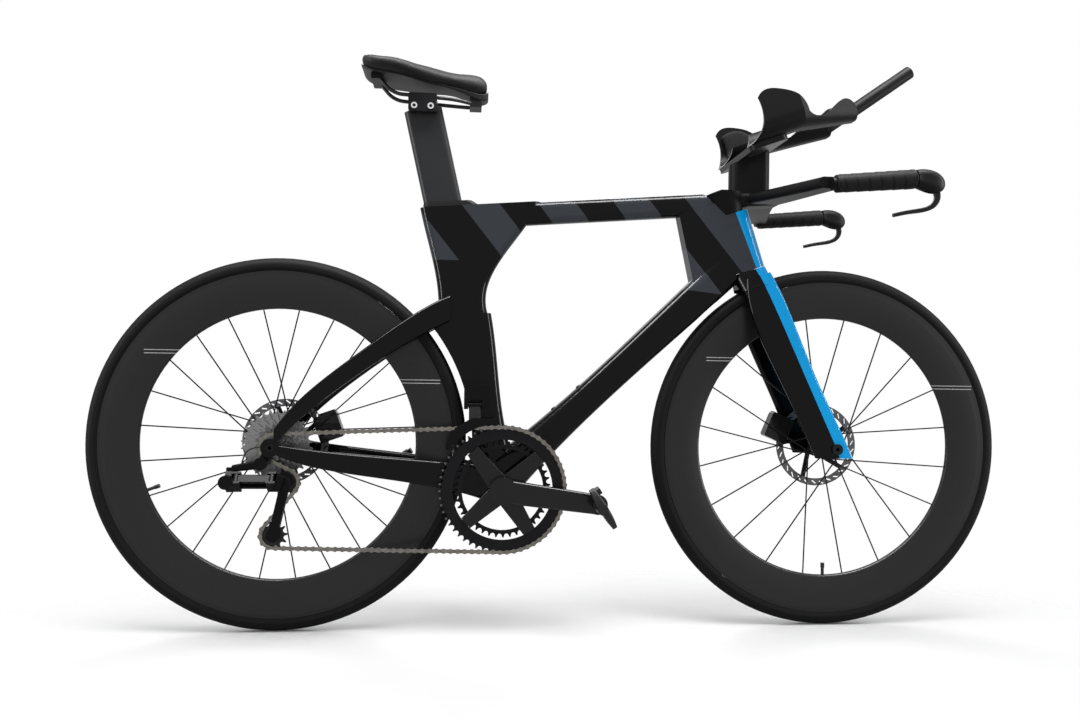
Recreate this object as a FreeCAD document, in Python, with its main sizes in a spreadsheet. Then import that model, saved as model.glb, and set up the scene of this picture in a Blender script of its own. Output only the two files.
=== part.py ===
import FreeCAD, Part
import math
import os
import re
import Sketcher
from FreeCAD import Placement, Rotation, Vector

# Time trial bicycle. Millimetres, +X forward, +Y to the rider's left, +Z up.
# The origin is the centre of the rear axle on the middle plane.

doc = FreeCAD.newDocument("time_trial_bike")
sheet = doc.addObject("Spreadsheet::Sheet", "Sizes")

SIZES = [
    # Wheel layout and frame geometry
    ("wheelbase", 1026), ("head_angle", 72), ("fork_rake", 45), ("bb_ahead", 406), ("bb_drop", 77),
    # Wheels
    ("tyre_radius", 339), ("tyre_foot_width", 25), ("tyre_wall", 2.7), ("rim_bed_radius", 315),
    ("rim_nose_radius", 246), ("rim_nose_width", 12), ("rim_width", 28.4), ("rim_wall", 1.8),
    ("spoke_width", 2.4), ("spoke_thickness", 1.1), ("front_spokes", 20), ("rear_spokes", 24),
    ("valve_length", 22), ("valve_radius", 3),
    ("hub_barrel_radius", 11), ("flange_radius", 19), ("flange_width", 6), ("seat_gap", 0.2),
    ("axle_radius", 6), ("axle_bore_radius", 3.5), ("running_gap", 0.05), ("side_gap", 0.3),
    ("front_hub_width", 100), ("front_flange_left", 24), ("front_flange_right", 34),
    ("rear_hub_width", 142), ("rear_flange_left", 38), ("rear_flange_right", 13),
    ("rotor_radius", 80), ("rotor_track", 14), ("rotor_thickness", 1.8), ("rotor_seat_radius", 15),
    ("front_rotor_side", 38), ("rear_rotor_side", 56),
    # Drive
    ("chain_pitch", 12.7), ("big_ring_teeth", 56), ("small_ring_teeth", 42), ("small_sprocket_teeth", 11),
    ("pulley_teeth", 11), ("big_ring_side", 47), ("small_ring_side", 40.2), ("tooth_thickness", 1.4),
    ("roller_radius", 3.85), ("roller_gap", 0.25), ("tooth_height", 2.8), ("tooth_tip_width", 2.2),
    ("big_ring_inner_radius", 90.5), ("small_ring_inner_radius", 74),
    ("plate_thickness", 0.75), ("inner_link_width", 2.2), ("pin_radius", 1.7), ("link_gap", 0.08),
    ("plate_end_radius", 4.2), ("plate_waist", 5.4),
    ("cassette_side", 22.5), ("sprocket_spacing", 3.55), ("chain_shift", 0.15), ("freehub_radius", 16.5),
    ("crank_length", 172.5), ("crank_drop_angle", 8), ("crank_side", 58), ("crank_thickness", 15),
    ("crank_hub_radius", 25), ("crank_root_depth", 43), ("crank_tip_depth", 36),
    ("spindle_radius", 12), ("spider_arm_width", 30), ("spider_thickness", 6),
    ("bb_shell_radius", 27), ("bb_shell_half_width", 41), ("bb_bore_radius", 20.5), ("bb_cup_flange", 4.5),
    ("pedal_axle_radius", 4), ("pedal_width", 54), ("pedal_length", 84), ("pedal_thickness", 14),
    ("pedal_hang_angle", 58), ("pedal_sleeve_radius", 9.5),
    # Rear derailleur
    ("hanger_thickness", 6), ("hanger_back", 14), ("hanger_down", 27), ("guide_ahead", 24),
    ("guide_down", 62), ("cage_length", 95), ("cage_lean", 13), ("link_length", 60), ("link_depth", 15),
    ("link_thickness", 6),
    ("link_height_below", 58), ("cage_plate", 2.2), ("cage_room", 3.6), ("knuckle_radius", 14),
    # Frame tubes
    ("down_tube_depth", 57), ("down_tube_width", 44), ("down_tube_foot_depth", 78),
    ("down_tube_foot_width", 62), ("top_tube_depth", 42), ("top_tube_width", 34),
    ("head_nose", 35), ("head_tail", 112), ("head_width", 48), ("head_bottom", 366), ("head_top", 479),
    ("steer_gap", 0.6), ("steerer_radius", 14.3), ("head_bore_radius", 20), ("bearing_radius", 22.5),
    ("bearing_height", 8), ("collar_radius", 25.4), ("collar_slope", 0.318), ("collar_gap", 0.8),
    ("seat_tube_width", 34), ("wheel_gap", 11), ("fork_wheel_gap", 7), ("crown_recess_radius", 36.5),
    ("cluster_back", 106), ("cluster_up", 497), ("stay_width", 13),
    ("dropout_radius", 16), ("dropout_thickness", 7), ("tyre_side_gap", 7),
    # Seat
    ("post_back", 114), ("post_up", 517), ("seat_angle", 77.2), ("post_chord", 70), ("post_width", 24),
    ("post_insert", 95), ("post_height", 185), ("post_pocket", 165), ("post_gap", 0.3),
    ("gasket_height", 9), ("gasket_reach", 66), ("saddle_length", 231), ("saddle_width", 134),
    ("saddle_thickness", 27), ("saddle_tilt", 5.4), ("saddle_rise", 70),
    ("rail_radius", 3.5), ("rail_spread", 44), ("nose_spread", 22), ("shell_thickness", 4),
    ("rail_rise", 17), ("clamp_length", 52), ("clamp_bolt_radius", 3), ("clamp_bolt_spacing", 30),
    # Fork
    ("leg_depth", 66), ("leg_top_width", 17), ("leg_tip_width", 11), ("fork_tip_below", 17),
    # Cockpit
    ("stem_width", 50), ("stem_top", 482), ("bar_half_width", 197), ("wing_chord", 52),
    ("wing_thickness", 20), ("grip_radius", 11), ("tape_thickness", 4.2), ("grip_start", 117),
    ("grip_end", 265), ("grip_height", 464), ("grip_slope", 5), ("tape_end_gap", 2),
    ("housing_length", 50), ("housing_depth", 40), ("lever_thickness", 8), ("lever_gap", 0.5),
    ("lever_pin_radius", 3), ("lever_eye_radius", 7), ("lever_tip_radius", 4.5),
    ("riser_ahead", 37), ("riser_chord", 78), ("riser_width", 34), ("bracket_tilt", 20), ("bracket_back", 27),
    ("bracket_height", 541), ("bracket_length", 74), ("bracket_half_width", 104), ("bracket_thickness", 10),
    ("cup_side", 90), ("cup_width", 84), ("cup_wall", 5), ("inner_wall", 26), ("wrist_side", 56), ("wrist_width", 48),
    ("pad_thickness", 9), ("pad_gap", 0.4), ("pad_inset", 7), ("seat_on_bracket", 0.05),
    ("extension_tip_ahead", 323), ("extension_tip_rise", 174), ("extension_tip_side", 43),
    ("extension_grip_ahead", 201), ("extension_grip_rise", 88), ("extension_grip_radius", 12),
    ("button_radius", 7), ("button_depth", 7), ("button_proud", 3), ("button_gap", 0.15),
    # Brakes
    ("caliper_length", 50), ("caliper_height", 46), ("caliper_slot", 9), ("caliper_width", 24),
    ("pad_plate", 2.6), ("pad_clear", 0.35), ("brake_pad_length", 26), ("brake_pad_height", 15),
]
for row, (alias, number) in enumerate(SIZES, start=1):
    sheet.set(f"A{row}", alias.replace("_", " "))
    sheet.set(f"B{row}", str(number))
    sheet.setAlias(f"B{row}", alias)
doc.recompute()


class SheetSizes:
    """Reads a size from the spreadsheet by its name."""

    def __getattr__(self, alias):
        return float(sheet.get(alias))


d = SheetSizes()
ORIGIN = Vector(0, 0, 0)
EX, EY, EZ = Vector(1, 0, 0), Vector(0, 1, 0), Vector(0, 0, 1)
subparts = []


def value(expression):
    return float(sheet.evalExpression(expression))


def bound(expression):
    return re.sub(r"[A-Za-z_]+", lambda word: "Sizes." + word.group(0), expression)


def piece(label, shape):
    made = doc.addObject("Part::Feature", label)
    made.Label = label
    made.Shape = shape
    subparts.append(made)
    return made


def lathe(label, profile, at=ORIGIN, keep=True):
    """A turned piece about a line along Y: the profile lists (radius, place along Y) as sheet expressions."""
    body = doc.addObject("PartDesign::Body", label)
    body.Label = label
    sketch = body.newObject("Sketcher::SketchObject", label + "_profile")
    plane = [item for item in body.Origin.OriginFeatures if item.Role == "XY_Plane"][0]
    sketch.AttachmentSupport = (plane, [""])
    sketch.MapMode = "FlatFace"
    points = [Vector(value(radius), value(along), 0) for radius, along in profile]
    count = len(points)
    for index, point in enumerate(points):
        sketch.addGeometry(Part.LineSegment(point, points[(index + 1) % count]), False)
    for index in range(count):
        sketch.addConstraint(Sketcher.Constraint("Coincident", index, 2, (index + 1) % count, 1))
    for index, (radius, along) in enumerate(profile):
        for kind, expression in (("DistanceX", radius), ("DistanceY", along)):
            number = sketch.addConstraint(Sketcher.Constraint(kind, -1, 1, index, 1, value(expression)))
            sketch.setExpression(f"Constraints[{number}]", bound(expression))
    turned = body.newObject("PartDesign::Revolution", label + "_turned")
    turned.Profile = sketch
    turned.ReferenceAxis = (sketch, ["V_Axis"])
    turned.Angle = 360
    body.Placement = Placement(at, Rotation())
    doc.recompute()
    if keep:
        subparts.append(body)
    return body


def polar(radius, angle):
    return Vector(radius * math.cos(angle), 0, radius * math.sin(angle))


def rounded(centre, along, across, length, width, radius):
    """Rounded rectangle on two directions: four lines and four quarter arcs."""
    inset = 1 - math.sqrt(0.5)
    edges = []
    starts = []
    for turn, (a, b) in enumerate(((1, 1), (-1, 1), (-1, -1), (1, -1))):
        corner = centre + along * (a * length / 2) + across * (b * width / 2)
        on_side = corner - across * (b * radius)
        on_top = corner - along * (a * radius)
        middle = corner - along * (a * radius * inset) - across * (b * radius * inset)
        first, last = (on_side, on_top) if turn % 2 == 0 else (on_top, on_side)
        starts.append((first, middle, last))
    for index, (first, middle, last) in enumerate(starts):
        edges.append(Part.Arc(first, middle, last).toShape())
        edges.append(Part.LineSegment(last, starts[(index + 1) % 4][0]).toShape())
    return Part.Wire(edges)


def loft(sections, ruled=False):
    return Part.makeLoft(sections, True, ruled)


def prism(points, depth):
    """Flat outline in a plane of constant Y, thickened to both sides by half the depth."""
    corners = [Vector(x, -depth / 2, z) for x, z in points]
    outline = Part.makePolygon(corners + corners[:1])
    return Part.Face(outline).extrude(EY * depth)


def rod(start, end, radius):
    return Part.makeCylinder(radius, (end - start).Length, start, end - start)


def cross_rod(x, z, radius, start, end):
    return rod(Vector(x, start, z), Vector(x, end, z), radius)


def cross_edges(block):
    """The edges of a block that run across the bike."""
    return [edge for edge in block.Edges if abs(edge.tangentAt(edge.FirstParameter).y) > 0.9]


def mirrored(shape):
    return shape.mirror(ORIGIN, EY)


def both_sides(shape):
    return Part.makeCompound([shape, mirrored(shape)])


def bar_between(start, end, width, thickness, side):
    """Flat bar from start to end; its thickness lies along the side direction."""
    along = (end - start).normalize()
    across = side.cross(along)
    bar = Part.makeBox((end - start).Length, thickness, width, Vector(0, -thickness / 2, -width / 2))
    bar.Placement = Placement(start, Rotation(along, side, across, "XYZ"))
    return bar


# Layout points that several pieces share.
front_axle_at = Vector(d.wheelbase, 0, 0)
bottom_bracket = Vector(d.bb_ahead, 0, -d.bb_drop)
lean = math.radians(d.head_angle)
steer_up = Vector(-math.cos(lean), 0, math.sin(lean))
steer_ahead = Vector(math.sin(lean), 0, math.cos(lean))
steer_foot = front_axle_at - steer_ahead * d.fork_rake


def steer(ahead, along, side=0.0):
    """A point measured from the foot of the steering axis, ahead of it, up along it and to the left."""
    return steer_foot + steer_ahead * ahead + steer_up * along + EY * side


def from_bb(ahead, up, side=0.0):
    return bottom_bracket + Vector(ahead, side, up)


def collar_radius_at(along):
    return d.collar_radius + d.collar_slope * (along - d.head_top)


# Wheels

def tyre(label, at):
    half_foot = d.tyre_foot_width / 2
    height = d.tyre_radius - d.rim_bed_radius - d.seat_gap
    foot = d.rim_bed_radius + d.seat_gap
    radius = (half_foot ** 2 + height ** 2) / (2 * height)
    centre = d.tyre_radius - radius
    inner = radius - d.tyre_wall
    inner_foot = math.sqrt(inner ** 2 - (centre - foot) ** 2)
    outer_arc = Part.Arc(Vector(foot, -half_foot, 0), Vector(d.tyre_radius, 0, 0), Vector(foot, half_foot, 0))
    inner_arc = Part.Arc(Vector(foot, inner_foot, 0), Vector(centre + inner, 0, 0),
                         Vector(foot, -inner_foot, 0))
    left_bead = Part.LineSegment(Vector(foot, half_foot, 0), Vector(foot, inner_foot, 0))
    right_bead = Part.LineSegment(Vector(foot, -inner_foot, 0), Vector(foot, -half_foot, 0))
    section = Part.Wire([part.toShape() for part in (outer_arc, left_bead, inner_arc, right_bead)])
    ring = Part.Face(section).revolve(ORIGIN, EY, 360)
    ring.translate(at)
    piece(label, ring)


def rim_section(inset):
    """Half-open deep rim outline, moved inwards by the inset for the hollow."""
    nose = d.rim_nose_radius + inset
    bed = d.rim_bed_radius - inset
    half_nose = d.rim_nose_width / 2 - inset / 2
    half = d.rim_width / 2 - inset
    shoulder = nose + half_nose * 0.8
    widest = bed - (bed - shoulder) * 0.2
    edge = half - 0.6
    right = Part.Arc(Vector(shoulder, half_nose, 0),
                     Vector((shoulder + widest) / 2, half_nose + (half - half_nose) * 0.79, 0),
                     Vector(widest, half, 0))
    left = Part.Arc(Vector(widest, -half, 0),
                    Vector((shoulder + widest) / 2, -half_nose - (half - half_nose) * 0.79, 0),
                    Vector(shoulder, -half_nose, 0))
    tip = Part.Arc(Vector(shoulder, -half_nose, 0), Vector(nose, 0, 0), Vector(shoulder, half_nose, 0))
    run = [Part.LineSegment(Vector(widest, half, 0), Vector(bed, edge, 0)),
           Part.LineSegment(Vector(bed, edge, 0), Vector(bed, -edge, 0)),
           Part.LineSegment(Vector(bed, -edge, 0), Vector(widest, -half, 0))]
    wire = Part.Wire([part.toShape() for part in [tip, right] + run + [left]])
    return Part.Face(wire)


def rim(label, at, valve_angle):
    outer = rim_section(0).revolve(ORIGIN, EY, 360)
    hollow = rim_section(d.rim_wall).revolve(ORIGIN, EY, 360)
    ring = outer.cut(hollow)
    valve_top = d.rim_nose_radius - d.seat_gap
    valve = rod(polar(valve_top - d.valve_length, valve_angle), polar(valve_top, valve_angle), d.valve_radius)
    cap = rod(polar(valve_top - d.valve_length, valve_angle),
              polar(valve_top - d.valve_length * 0.6, valve_angle), d.valve_radius * 1.25)
    both = Part.makeCompound([ring, valve.fuse(cap).removeSplitter()])
    both.translate(at)
    piece(label, both)


def spokes(label, at, count, left, right):
    """Straight-pull bladed spokes that leave each flange along a tangent, leading and trailing in turn."""
    rim_end = d.rim_nose_radius - d.seat_gap
    touch = d.flange_radius + d.spoke_width / 2 + d.seat_gap
    swing = math.acos(touch / rim_end)
    blades = []
    for index in range(int(count)):
        side = left if index % 2 == 0 else -right
        lead = 1 if index % 4 < 2 else -1
        angle = 2 * math.pi * (index + 0.5) / count
        foot = polar(touch, angle + lead * swing) + EY * side
        tip = polar(rim_end, angle) + EY * (side / abs(side))
        blades.append(bar_between(foot, tip, d.spoke_width, d.spoke_thickness, EY))
    group = Part.makeCompound(blades)
    group.translate(at)
    piece(label, group)


def hub_profile(left_flange, right_flange, left_end, right_end, rotor_side):
    """Hub shell from right to left: barrel, two flanges and the splined rotor seat."""
    flange, barrel, half = "flange_radius", "hub_barrel_radius", "flange_width / 2"
    bore = "axle_radius + running_gap"
    return [
        (bore, right_end), (barrel, right_end), (barrel, f"-({right_flange}) - {half} - 2"),
        (flange, f"-({right_flange}) - {half}"), (flange, f"-({right_flange}) + {half}"),
        (barrel, f"-({right_flange}) + {half} + 4"), (barrel, f"{left_flange} - {half} - 4"),
        (flange, f"{left_flange} - {half}"), (flange, f"{left_flange} + {half}"),
        ("rotor_seat_radius", f"{left_flange} + {half} + 1"),
        ("rotor_seat_radius", f"{rotor_side} + 5"), (barrel, f"{rotor_side} + 6"),
        (barrel, left_end), (bore, left_end)]


def rotor(label, at, side):
    """Slotted brake track on a five-arm carrier that slides on the hub seat and is held by a lock ring."""
    inner = d.rotor_radius - d.rotor_track
    bore = d.rotor_seat_radius + d.running_gap
    boss = d.rotor_seat_radius + 7
    track = Part.makeCylinder(d.rotor_radius, d.rotor_thickness, ORIGIN, EY)
    track = track.cut(Part.makeCylinder(inner, d.rotor_thickness, ORIGIN, EY))
    slots = []
    for index in range(30):
        angle = 2 * math.pi * index / 30
        reach = inner + d.rotor_track * (0.3 + 0.12 * (index % 2))
        start = polar(reach, angle)
        end = polar(reach + d.rotor_track * 0.42, angle + 0.11)
        slots.append(bar_between(start, end, 2.4, d.rotor_thickness * 3, EY))
    track = track.cut(Part.makeCompound(slots))
    parts = [Part.makeCylinder(boss, d.rotor_thickness, ORIGIN, EY)]
    for index in range(5):
        angle = 2 * math.pi * index / 5
        start = polar(boss - 3, angle) + EY * (d.rotor_thickness / 2)
        end = polar(inner + 2, angle + 0.55) + EY * (d.rotor_thickness / 2)
        parts.append(bar_between(start, end, 9, d.rotor_thickness, EY))
    disc = track.multiFuse(parts).cut(Part.makeCylinder(bore, d.rotor_thickness, ORIGIN, EY)).removeSplitter()
    lock_start = d.rotor_thickness
    lock = Part.makeCylinder(boss - 2, 3, EY * lock_start, EY)
    lock = lock.cut(Part.makeCylinder(bore, 3, EY * lock_start, EY))
    both = Part.makeCompound([disc, lock])
    both.translate(at + EY * (side - d.rotor_thickness / 2))
    piece(label, both)


def make_wheels():
    tyre("front_tyre", front_axle_at)
    rim("front_rim", front_axle_at, -math.pi / 2)
    spokes("front_spokes", front_axle_at, d.front_spokes, d.front_flange_left, d.front_flange_right)
    lathe("front_hub", hub_profile("front_flange_left", "front_flange_right", "front_hub_width / 2 - side_gap",
                                   "-front_hub_width / 2 + side_gap", "front_rotor_side"), front_axle_at)
    rotor("front_rotor", front_axle_at, d.front_rotor_side)
    tyre("rear_tyre", ORIGIN)
    rim("rear_rim", ORIGIN, math.radians(200))
    spokes("rear_spokes", ORIGIN, d.rear_spokes, d.rear_flange_left, d.rear_flange_right)
    lathe("rear_hub", hub_profile("rear_flange_left", "rear_flange_right", "rear_hub_width / 2 - side_gap",
                                  "-cassette_side + tooth_thickness + side_gap", "rear_rotor_side"))
    rotor("rear_rotor", ORIGIN, d.rear_rotor_side)


# Chain drive

def pitch_radius(teeth):
    return d.chain_pitch / (2 * math.sin(math.pi / teeth))


def toothed_wheel(teeth, thickness, bore, phase):
    """Sprocket on the Y axis through the origin, with a roller seat at the phase angle."""
    teeth = int(teeth)
    pitch = pitch_radius(teeth)
    seat = d.roller_radius + d.roller_gap
    tip = pitch + d.tooth_height
    half_tip = d.tooth_tip_width / 2 / tip
    open_angle = math.radians(78)
    step = 2 * math.pi / teeth
    edges = []
    for index in range(teeth):
        angle = phase + index * step
        following = angle + step
        outwards, sideways = polar(1, angle), polar(1, angle + math.pi / 2)
        centre = outwards * pitch
        near = centre - outwards * (seat * math.cos(open_angle)) - sideways * (seat * math.sin(open_angle))
        far = centre - outwards * (seat * math.cos(open_angle)) + sideways * (seat * math.sin(open_angle))
        next_out, next_side = polar(1, following), polar(1, following + math.pi / 2)
        next_near = next_out * (pitch - seat * math.cos(open_angle))
        next_near = next_near - next_side * (seat * math.sin(open_angle))
        tip_start = polar(tip, angle + step / 2 - half_tip)
        tip_end = polar(tip, angle + step / 2 + half_tip)
        edges.append(Part.Arc(near, centre - outwards * seat, far).toShape())
        edges.append(Part.LineSegment(far, tip_start).toShape())
        edges.append(Part.LineSegment(tip_start, tip_end).toShape())
        edges.append(Part.LineSegment(tip_end, next_near).toShape())
    wheel = Part.Face(Part.Wire(edges)).extrude(EY * thickness)
    wheel.translate(EY * (-thickness / 2))
    return wheel.cut(Part.makeCylinder(bore, thickness * 2, EY * (-thickness), EY))


rear_chain_side = -d.cassette_side - 11 * d.sprocket_spacing - d.chain_shift


class ChainPath:
    """Closed run of the chain: big ring, smallest sprocket, guide pulley and tension pulley."""

    def __init__(self, cage_angle):
        self.guide = Vector(d.guide_ahead, 0, -d.guide_down)
        self.tension = self.guide + polar(d.cage_length, cage_angle)
        ring_side = -d.big_ring_side
        rear_side = rear_chain_side
        self.stops = [(bottom_bracket, d.big_ring_teeth, 1, ring_side),
                      (ORIGIN, d.small_sprocket_teeth, 1, rear_side),
                      (self.guide, d.pulley_teeth, -1, rear_side),
                      (self.tension, d.pulley_teeth, 1, rear_side)]
        self.runs = []
        for index, (centre, teeth, turn, side) in enumerate(self.stops):
            other, other_teeth, other_turn, other_side = self.stops[(index + 1) % 4]
            between = other - centre
            reach = math.hypot(between.x, between.z)
            offset = other_turn * pitch_radius(other_teeth) - turn * pitch_radius(teeth)
            heading = math.atan2(between.z, between.x) - math.asin(offset / reach)
            length = math.sqrt(reach ** 2 - offset ** 2)
            normal = polar(1, heading + math.pi / 2)
            start = centre - normal * (turn * pitch_radius(teeth))
            self.runs.append((start + EY * side, heading, length, other_side - side))
        self.links = 0.0
        self.spans = []
        for index, (centre, teeth, turn, side) in enumerate(self.stops):
            start, heading, length, drift = self.runs[index]
            arriving = self.runs[index - 1][1]
            wrap = (turn * (heading - arriving)) % (2 * math.pi)
            self.spans.append(("arc", index, wrap * teeth / (2 * math.pi), arriving))
            self.spans.append(("run", index, length / d.chain_pitch, heading))
            self.links += wrap * teeth / (2 * math.pi) + length / d.chain_pitch

    def at(self, position):
        """Place of a pin, counted in links from where the chain meets the big ring."""
        position = position % self.links
        for kind, index, count, heading in self.spans:
            if position <= count:
                break
            position -= count
        centre, teeth, turn, side = self.stops[index]
        if kind == "arc":
            angle = heading - turn * math.pi / 2 + turn * position * 2 * math.pi / teeth
            return centre + polar(pitch_radius(teeth), angle) + EY * side
        start, heading, length, drift = self.runs[index]
        share = position / count
        straight = 2.5
        swept = min(1.0, max(0.0, (position - straight) / max(count - 2 * straight, 1.0)))
        return start + polar(length * share, heading) + EY * (drift * swept)

    def phase(self, stop):
        """Angle of the first pin that lies on a toothed wheel."""
        passed = sum(span[2] for span in self.spans[:2 * stop])
        pin = self.at(math.ceil(passed))
        away = pin - self.stops[stop][0]
        return math.atan2(away.z, away.x)


def tight_chain():
    """Swings the derailleur cage until the chain closes on a whole, even count of links."""
    rest = math.radians(270 - d.cage_lean)
    wanted = 2 * round(ChainPath(rest).links / 2)
    low, high = rest - math.radians(25), rest + math.radians(25)
    rising = ChainPath(high).links > ChainPath(low).links
    for _ in range(60):
        middle = (low + high) / 2
        if (ChainPath(middle).links < wanted) == rising:
            low = middle
        else:
            high = middle
    return ChainPath(middle), int(wanted)


chain_path, link_count = tight_chain()
guide_at = chain_path.guide
tension_at = chain_path.tension


def link_plate(thickness, start):
    """Waisted side plate between two pins on X, its near face at start along Y."""
    half = d.chain_pitch / 2
    shoulder_up = d.plate_end_radius * math.sin(math.radians(52))
    shoulder_in = d.plate_end_radius * math.cos(math.radians(52))
    right_up = Vector(half - shoulder_in, start, shoulder_up)
    right_down = Vector(half - shoulder_in, start, -shoulder_up)
    left_up = Vector(-half + shoulder_in, start, shoulder_up)
    left_down = Vector(-half + shoulder_in, start, -shoulder_up)
    waist = d.plate_waist / 2
    outline = [Part.Arc(right_down, Vector(half + d.plate_end_radius, start, 0), right_up),
               Part.Arc(right_up, Vector(0, start, waist), left_up),
               Part.Arc(left_up, Vector(-half - d.plate_end_radius, start, 0), left_down),
               Part.Arc(left_down, Vector(0, start, -waist), right_down)]
    return Part.Face(Part.Wire([edge.toShape() for edge in outline])).extrude(EY * thickness)


def chain_link(outer):
    half = d.chain_pitch / 2
    inner_face = d.inner_link_width / 2
    if outer:
        inner_face += d.plate_thickness + d.link_gap
    ends = inner_face + d.plate_thickness
    parts = [link_plate(d.plate_thickness, inner_face), link_plate(d.plate_thickness, -ends)]
    for x in (-half, half):
        radius = d.pin_radius if outer else d.roller_radius
        reach = ends if outer else inner_face
        parts.append(cross_rod(x, 0, radius, -reach, reach))
    link = parts[0].multiFuse(parts[1:])
    if not outer:
        bore = d.pin_radius + d.link_gap
        link = link.cut(Part.makeCompound([cross_rod(x, 0, bore, -ends, ends) for x in (-half, half)]))
    return link.removeSplitter()


def make_chain():
    kinds = [chain_link(True), chain_link(False)]
    links = []
    for index in range(link_count):
        first, second = chain_path.at(index), chain_path.at(index + 1)
        along = (second - first).normalize()
        up = along.cross(EY).normalize()
        link = kinds[index % 2].copy()
        link.Placement = Placement((first + second) * 0.5, Rotation(along, up.cross(along), up, "XYZ"))
        links.append(link)
    piece("chain", Part.makeCompound(links))


def make_cassette():
    teeth = [30, 27, 24, 21, 19, 17, 16, 15, 14, 13, 12, d.small_sprocket_teeth]
    bore = d.freehub_radius + d.running_gap
    stack = []
    for index, count in enumerate(teeth):
        phase = chain_path.phase(1) if index == len(teeth) - 1 else index * 0.31
        sprocket = toothed_wheel(count, d.tooth_thickness, bore, phase)
        sprocket.translate(EY * (-d.cassette_side - index * d.sprocket_spacing))
        stack.append(sprocket)
    inner_end = -d.cassette_side + d.tooth_thickness / 2
    outer_end = rear_chain_side - d.tooth_thickness / 2
    cap_end = -d.rear_hub_width / 2 + d.side_gap
    freehub = cross_rod(0, 0, d.freehub_radius, outer_end, inner_end)
    freehub = freehub.fuse(cross_rod(0, 0, d.hub_barrel_radius, cap_end, outer_end))
    freehub = freehub.cut(cross_rod(0, 0, d.axle_radius + d.running_gap, cap_end, inner_end))
    lock = cross_rod(0, 0, d.freehub_radius + 1, outer_end - 2.5, outer_end)
    lock = lock.cut(cross_rod(0, 0, d.hub_barrel_radius + d.running_gap, outer_end - 2.5, outer_end))
    piece("cassette", Part.makeCompound(stack + [freehub.removeSplitter(), lock]))


def spider_angles():
    crank = -math.radians(d.crank_drop_angle)
    return [crank + math.radians(turn) for turn in (51, 136, 230, 311)]


def make_chainrings():
    """Two toothed rings with four inward tabs each, joined by bolts behind the spider."""
    bolt_circle = d.small_ring_inner_radius - 8
    solids = []
    inner_face = -d.small_ring_side - d.tooth_thickness / 2
    outer_face = -d.big_ring_side + d.tooth_thickness / 2
    for teeth, inner, side in ((d.big_ring_teeth, d.big_ring_inner_radius, -d.big_ring_side),
                               (d.small_ring_teeth, d.small_ring_inner_radius, -d.small_ring_side)):
        phase = chain_path.phase(0) if teeth == d.big_ring_teeth else 0.02
        ring = toothed_wheel(teeth, d.tooth_thickness, inner, phase)
        tabs = []
        for angle in spider_angles():
            tabs.append(bar_between(polar(bolt_circle - 8, angle), polar(inner + 3, angle), 16,
                                    d.tooth_thickness, EY))
        ring = ring.multiFuse(tabs)
        ring.translate(EY * side)
        solids.append(ring.removeSplitter())
    for angle in spider_angles():
        foot = polar(bolt_circle, angle)
        solids.append(cross_rod(foot.x, foot.z, 5, outer_face, inner_face))
    rings = Part.makeCompound(solids)
    rings.translate(bottom_bracket)
    piece("chainrings", rings)


def crank_arm():
    """Right arm pointing along +X from the bottom bracket, tapering towards the pedal eye."""
    inner, outer = -d.crank_side, -d.crank_side - d.crank_thickness
    middle = (inner + outer) / 2
    sections = []
    for along, depth, thickness in ((0, d.crank_root_depth, d.crank_thickness),
                                    (d.crank_length * 0.5, d.crank_root_depth * 0.92, d.crank_thickness),
                                    (d.crank_length, d.crank_tip_depth, d.crank_thickness * 0.8)):
        centre = Vector(along, middle, 0)
        sections.append(rounded(centre, EZ, EY, depth, thickness, thickness * 0.35))
    eye_start = middle - d.crank_thickness * 0.4
    eye_end = middle + d.crank_thickness * 0.4
    eye = cross_rod(d.crank_length, 0, d.crank_tip_depth / 2, eye_start, eye_end)
    return loft(sections).fuse(eye)


def pedal_spindle(side):
    """Stub axle screwed into the crank eye, standing out to the rider's foot."""
    inner = d.crank_side + d.crank_thickness * 0.1
    outer = d.crank_side + d.crank_thickness + d.pedal_width - 6
    return cross_rod(d.crank_length, 0, d.pedal_axle_radius, side * inner, side * outer)


def placed_on_crank(shape, half_turns):
    turned = shape.copy()
    turned.rotate(ORIGIN, EY, d.crank_drop_angle + 180 * half_turns)
    turned.translate(bottom_bracket)
    return turned


def make_cranks():
    cup_end = d.bb_shell_half_width + d.bb_cup_flange + d.side_gap
    outer = d.crank_side + d.crank_thickness
    eye = cross_rod(d.crank_length, 0, d.pedal_axle_radius + d.running_gap, -outer - 2, -d.crank_side + 2)
    spider_start = d.big_ring_side + d.tooth_thickness / 2
    spider_end = spider_start + d.spider_thickness
    parts = [cross_rod(0, 0, d.crank_hub_radius, -cup_end, -outer)]
    for angle in spider_angles():
        level = -(spider_start + spider_end) / 2
        turn = angle + math.radians(d.crank_drop_angle)
        start = polar(d.crank_hub_radius - 8, turn) + EY * level
        end = polar(d.big_ring_inner_radius - 1.5, turn) + EY * level
        across = polar(1, turn + math.pi / 2)
        wide = rounded(start, EY, across, d.spider_thickness, d.spider_arm_width * 1.25, 2)
        slim = rounded(end, EY, polar(1, turn + math.pi / 2), d.spider_thickness, d.spider_arm_width * 0.8, 2)
        parts.append(loft([wide, slim]))
    parts.append(cross_rod(0, 0, d.spindle_radius, -cup_end - 5, outer - 4))
    right = crank_arm().multiFuse(parts).cut(eye)
    right_spindle = pedal_spindle(-1)
    piece("right_crank", placed_on_crank(Part.makeCompound([right, right_spindle]), 0))
    left = mirrored(crank_arm()).fuse(cross_rod(0, 0, d.crank_hub_radius, cup_end, outer))
    left = left.cut(cross_rod(0, 0, d.spindle_radius + d.running_gap, 0, outer - 3))
    left = left.cut(mirrored(eye))
    piece("left_crank", placed_on_crank(Part.makeCompound([left, pedal_spindle(1)]), 1))


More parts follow.
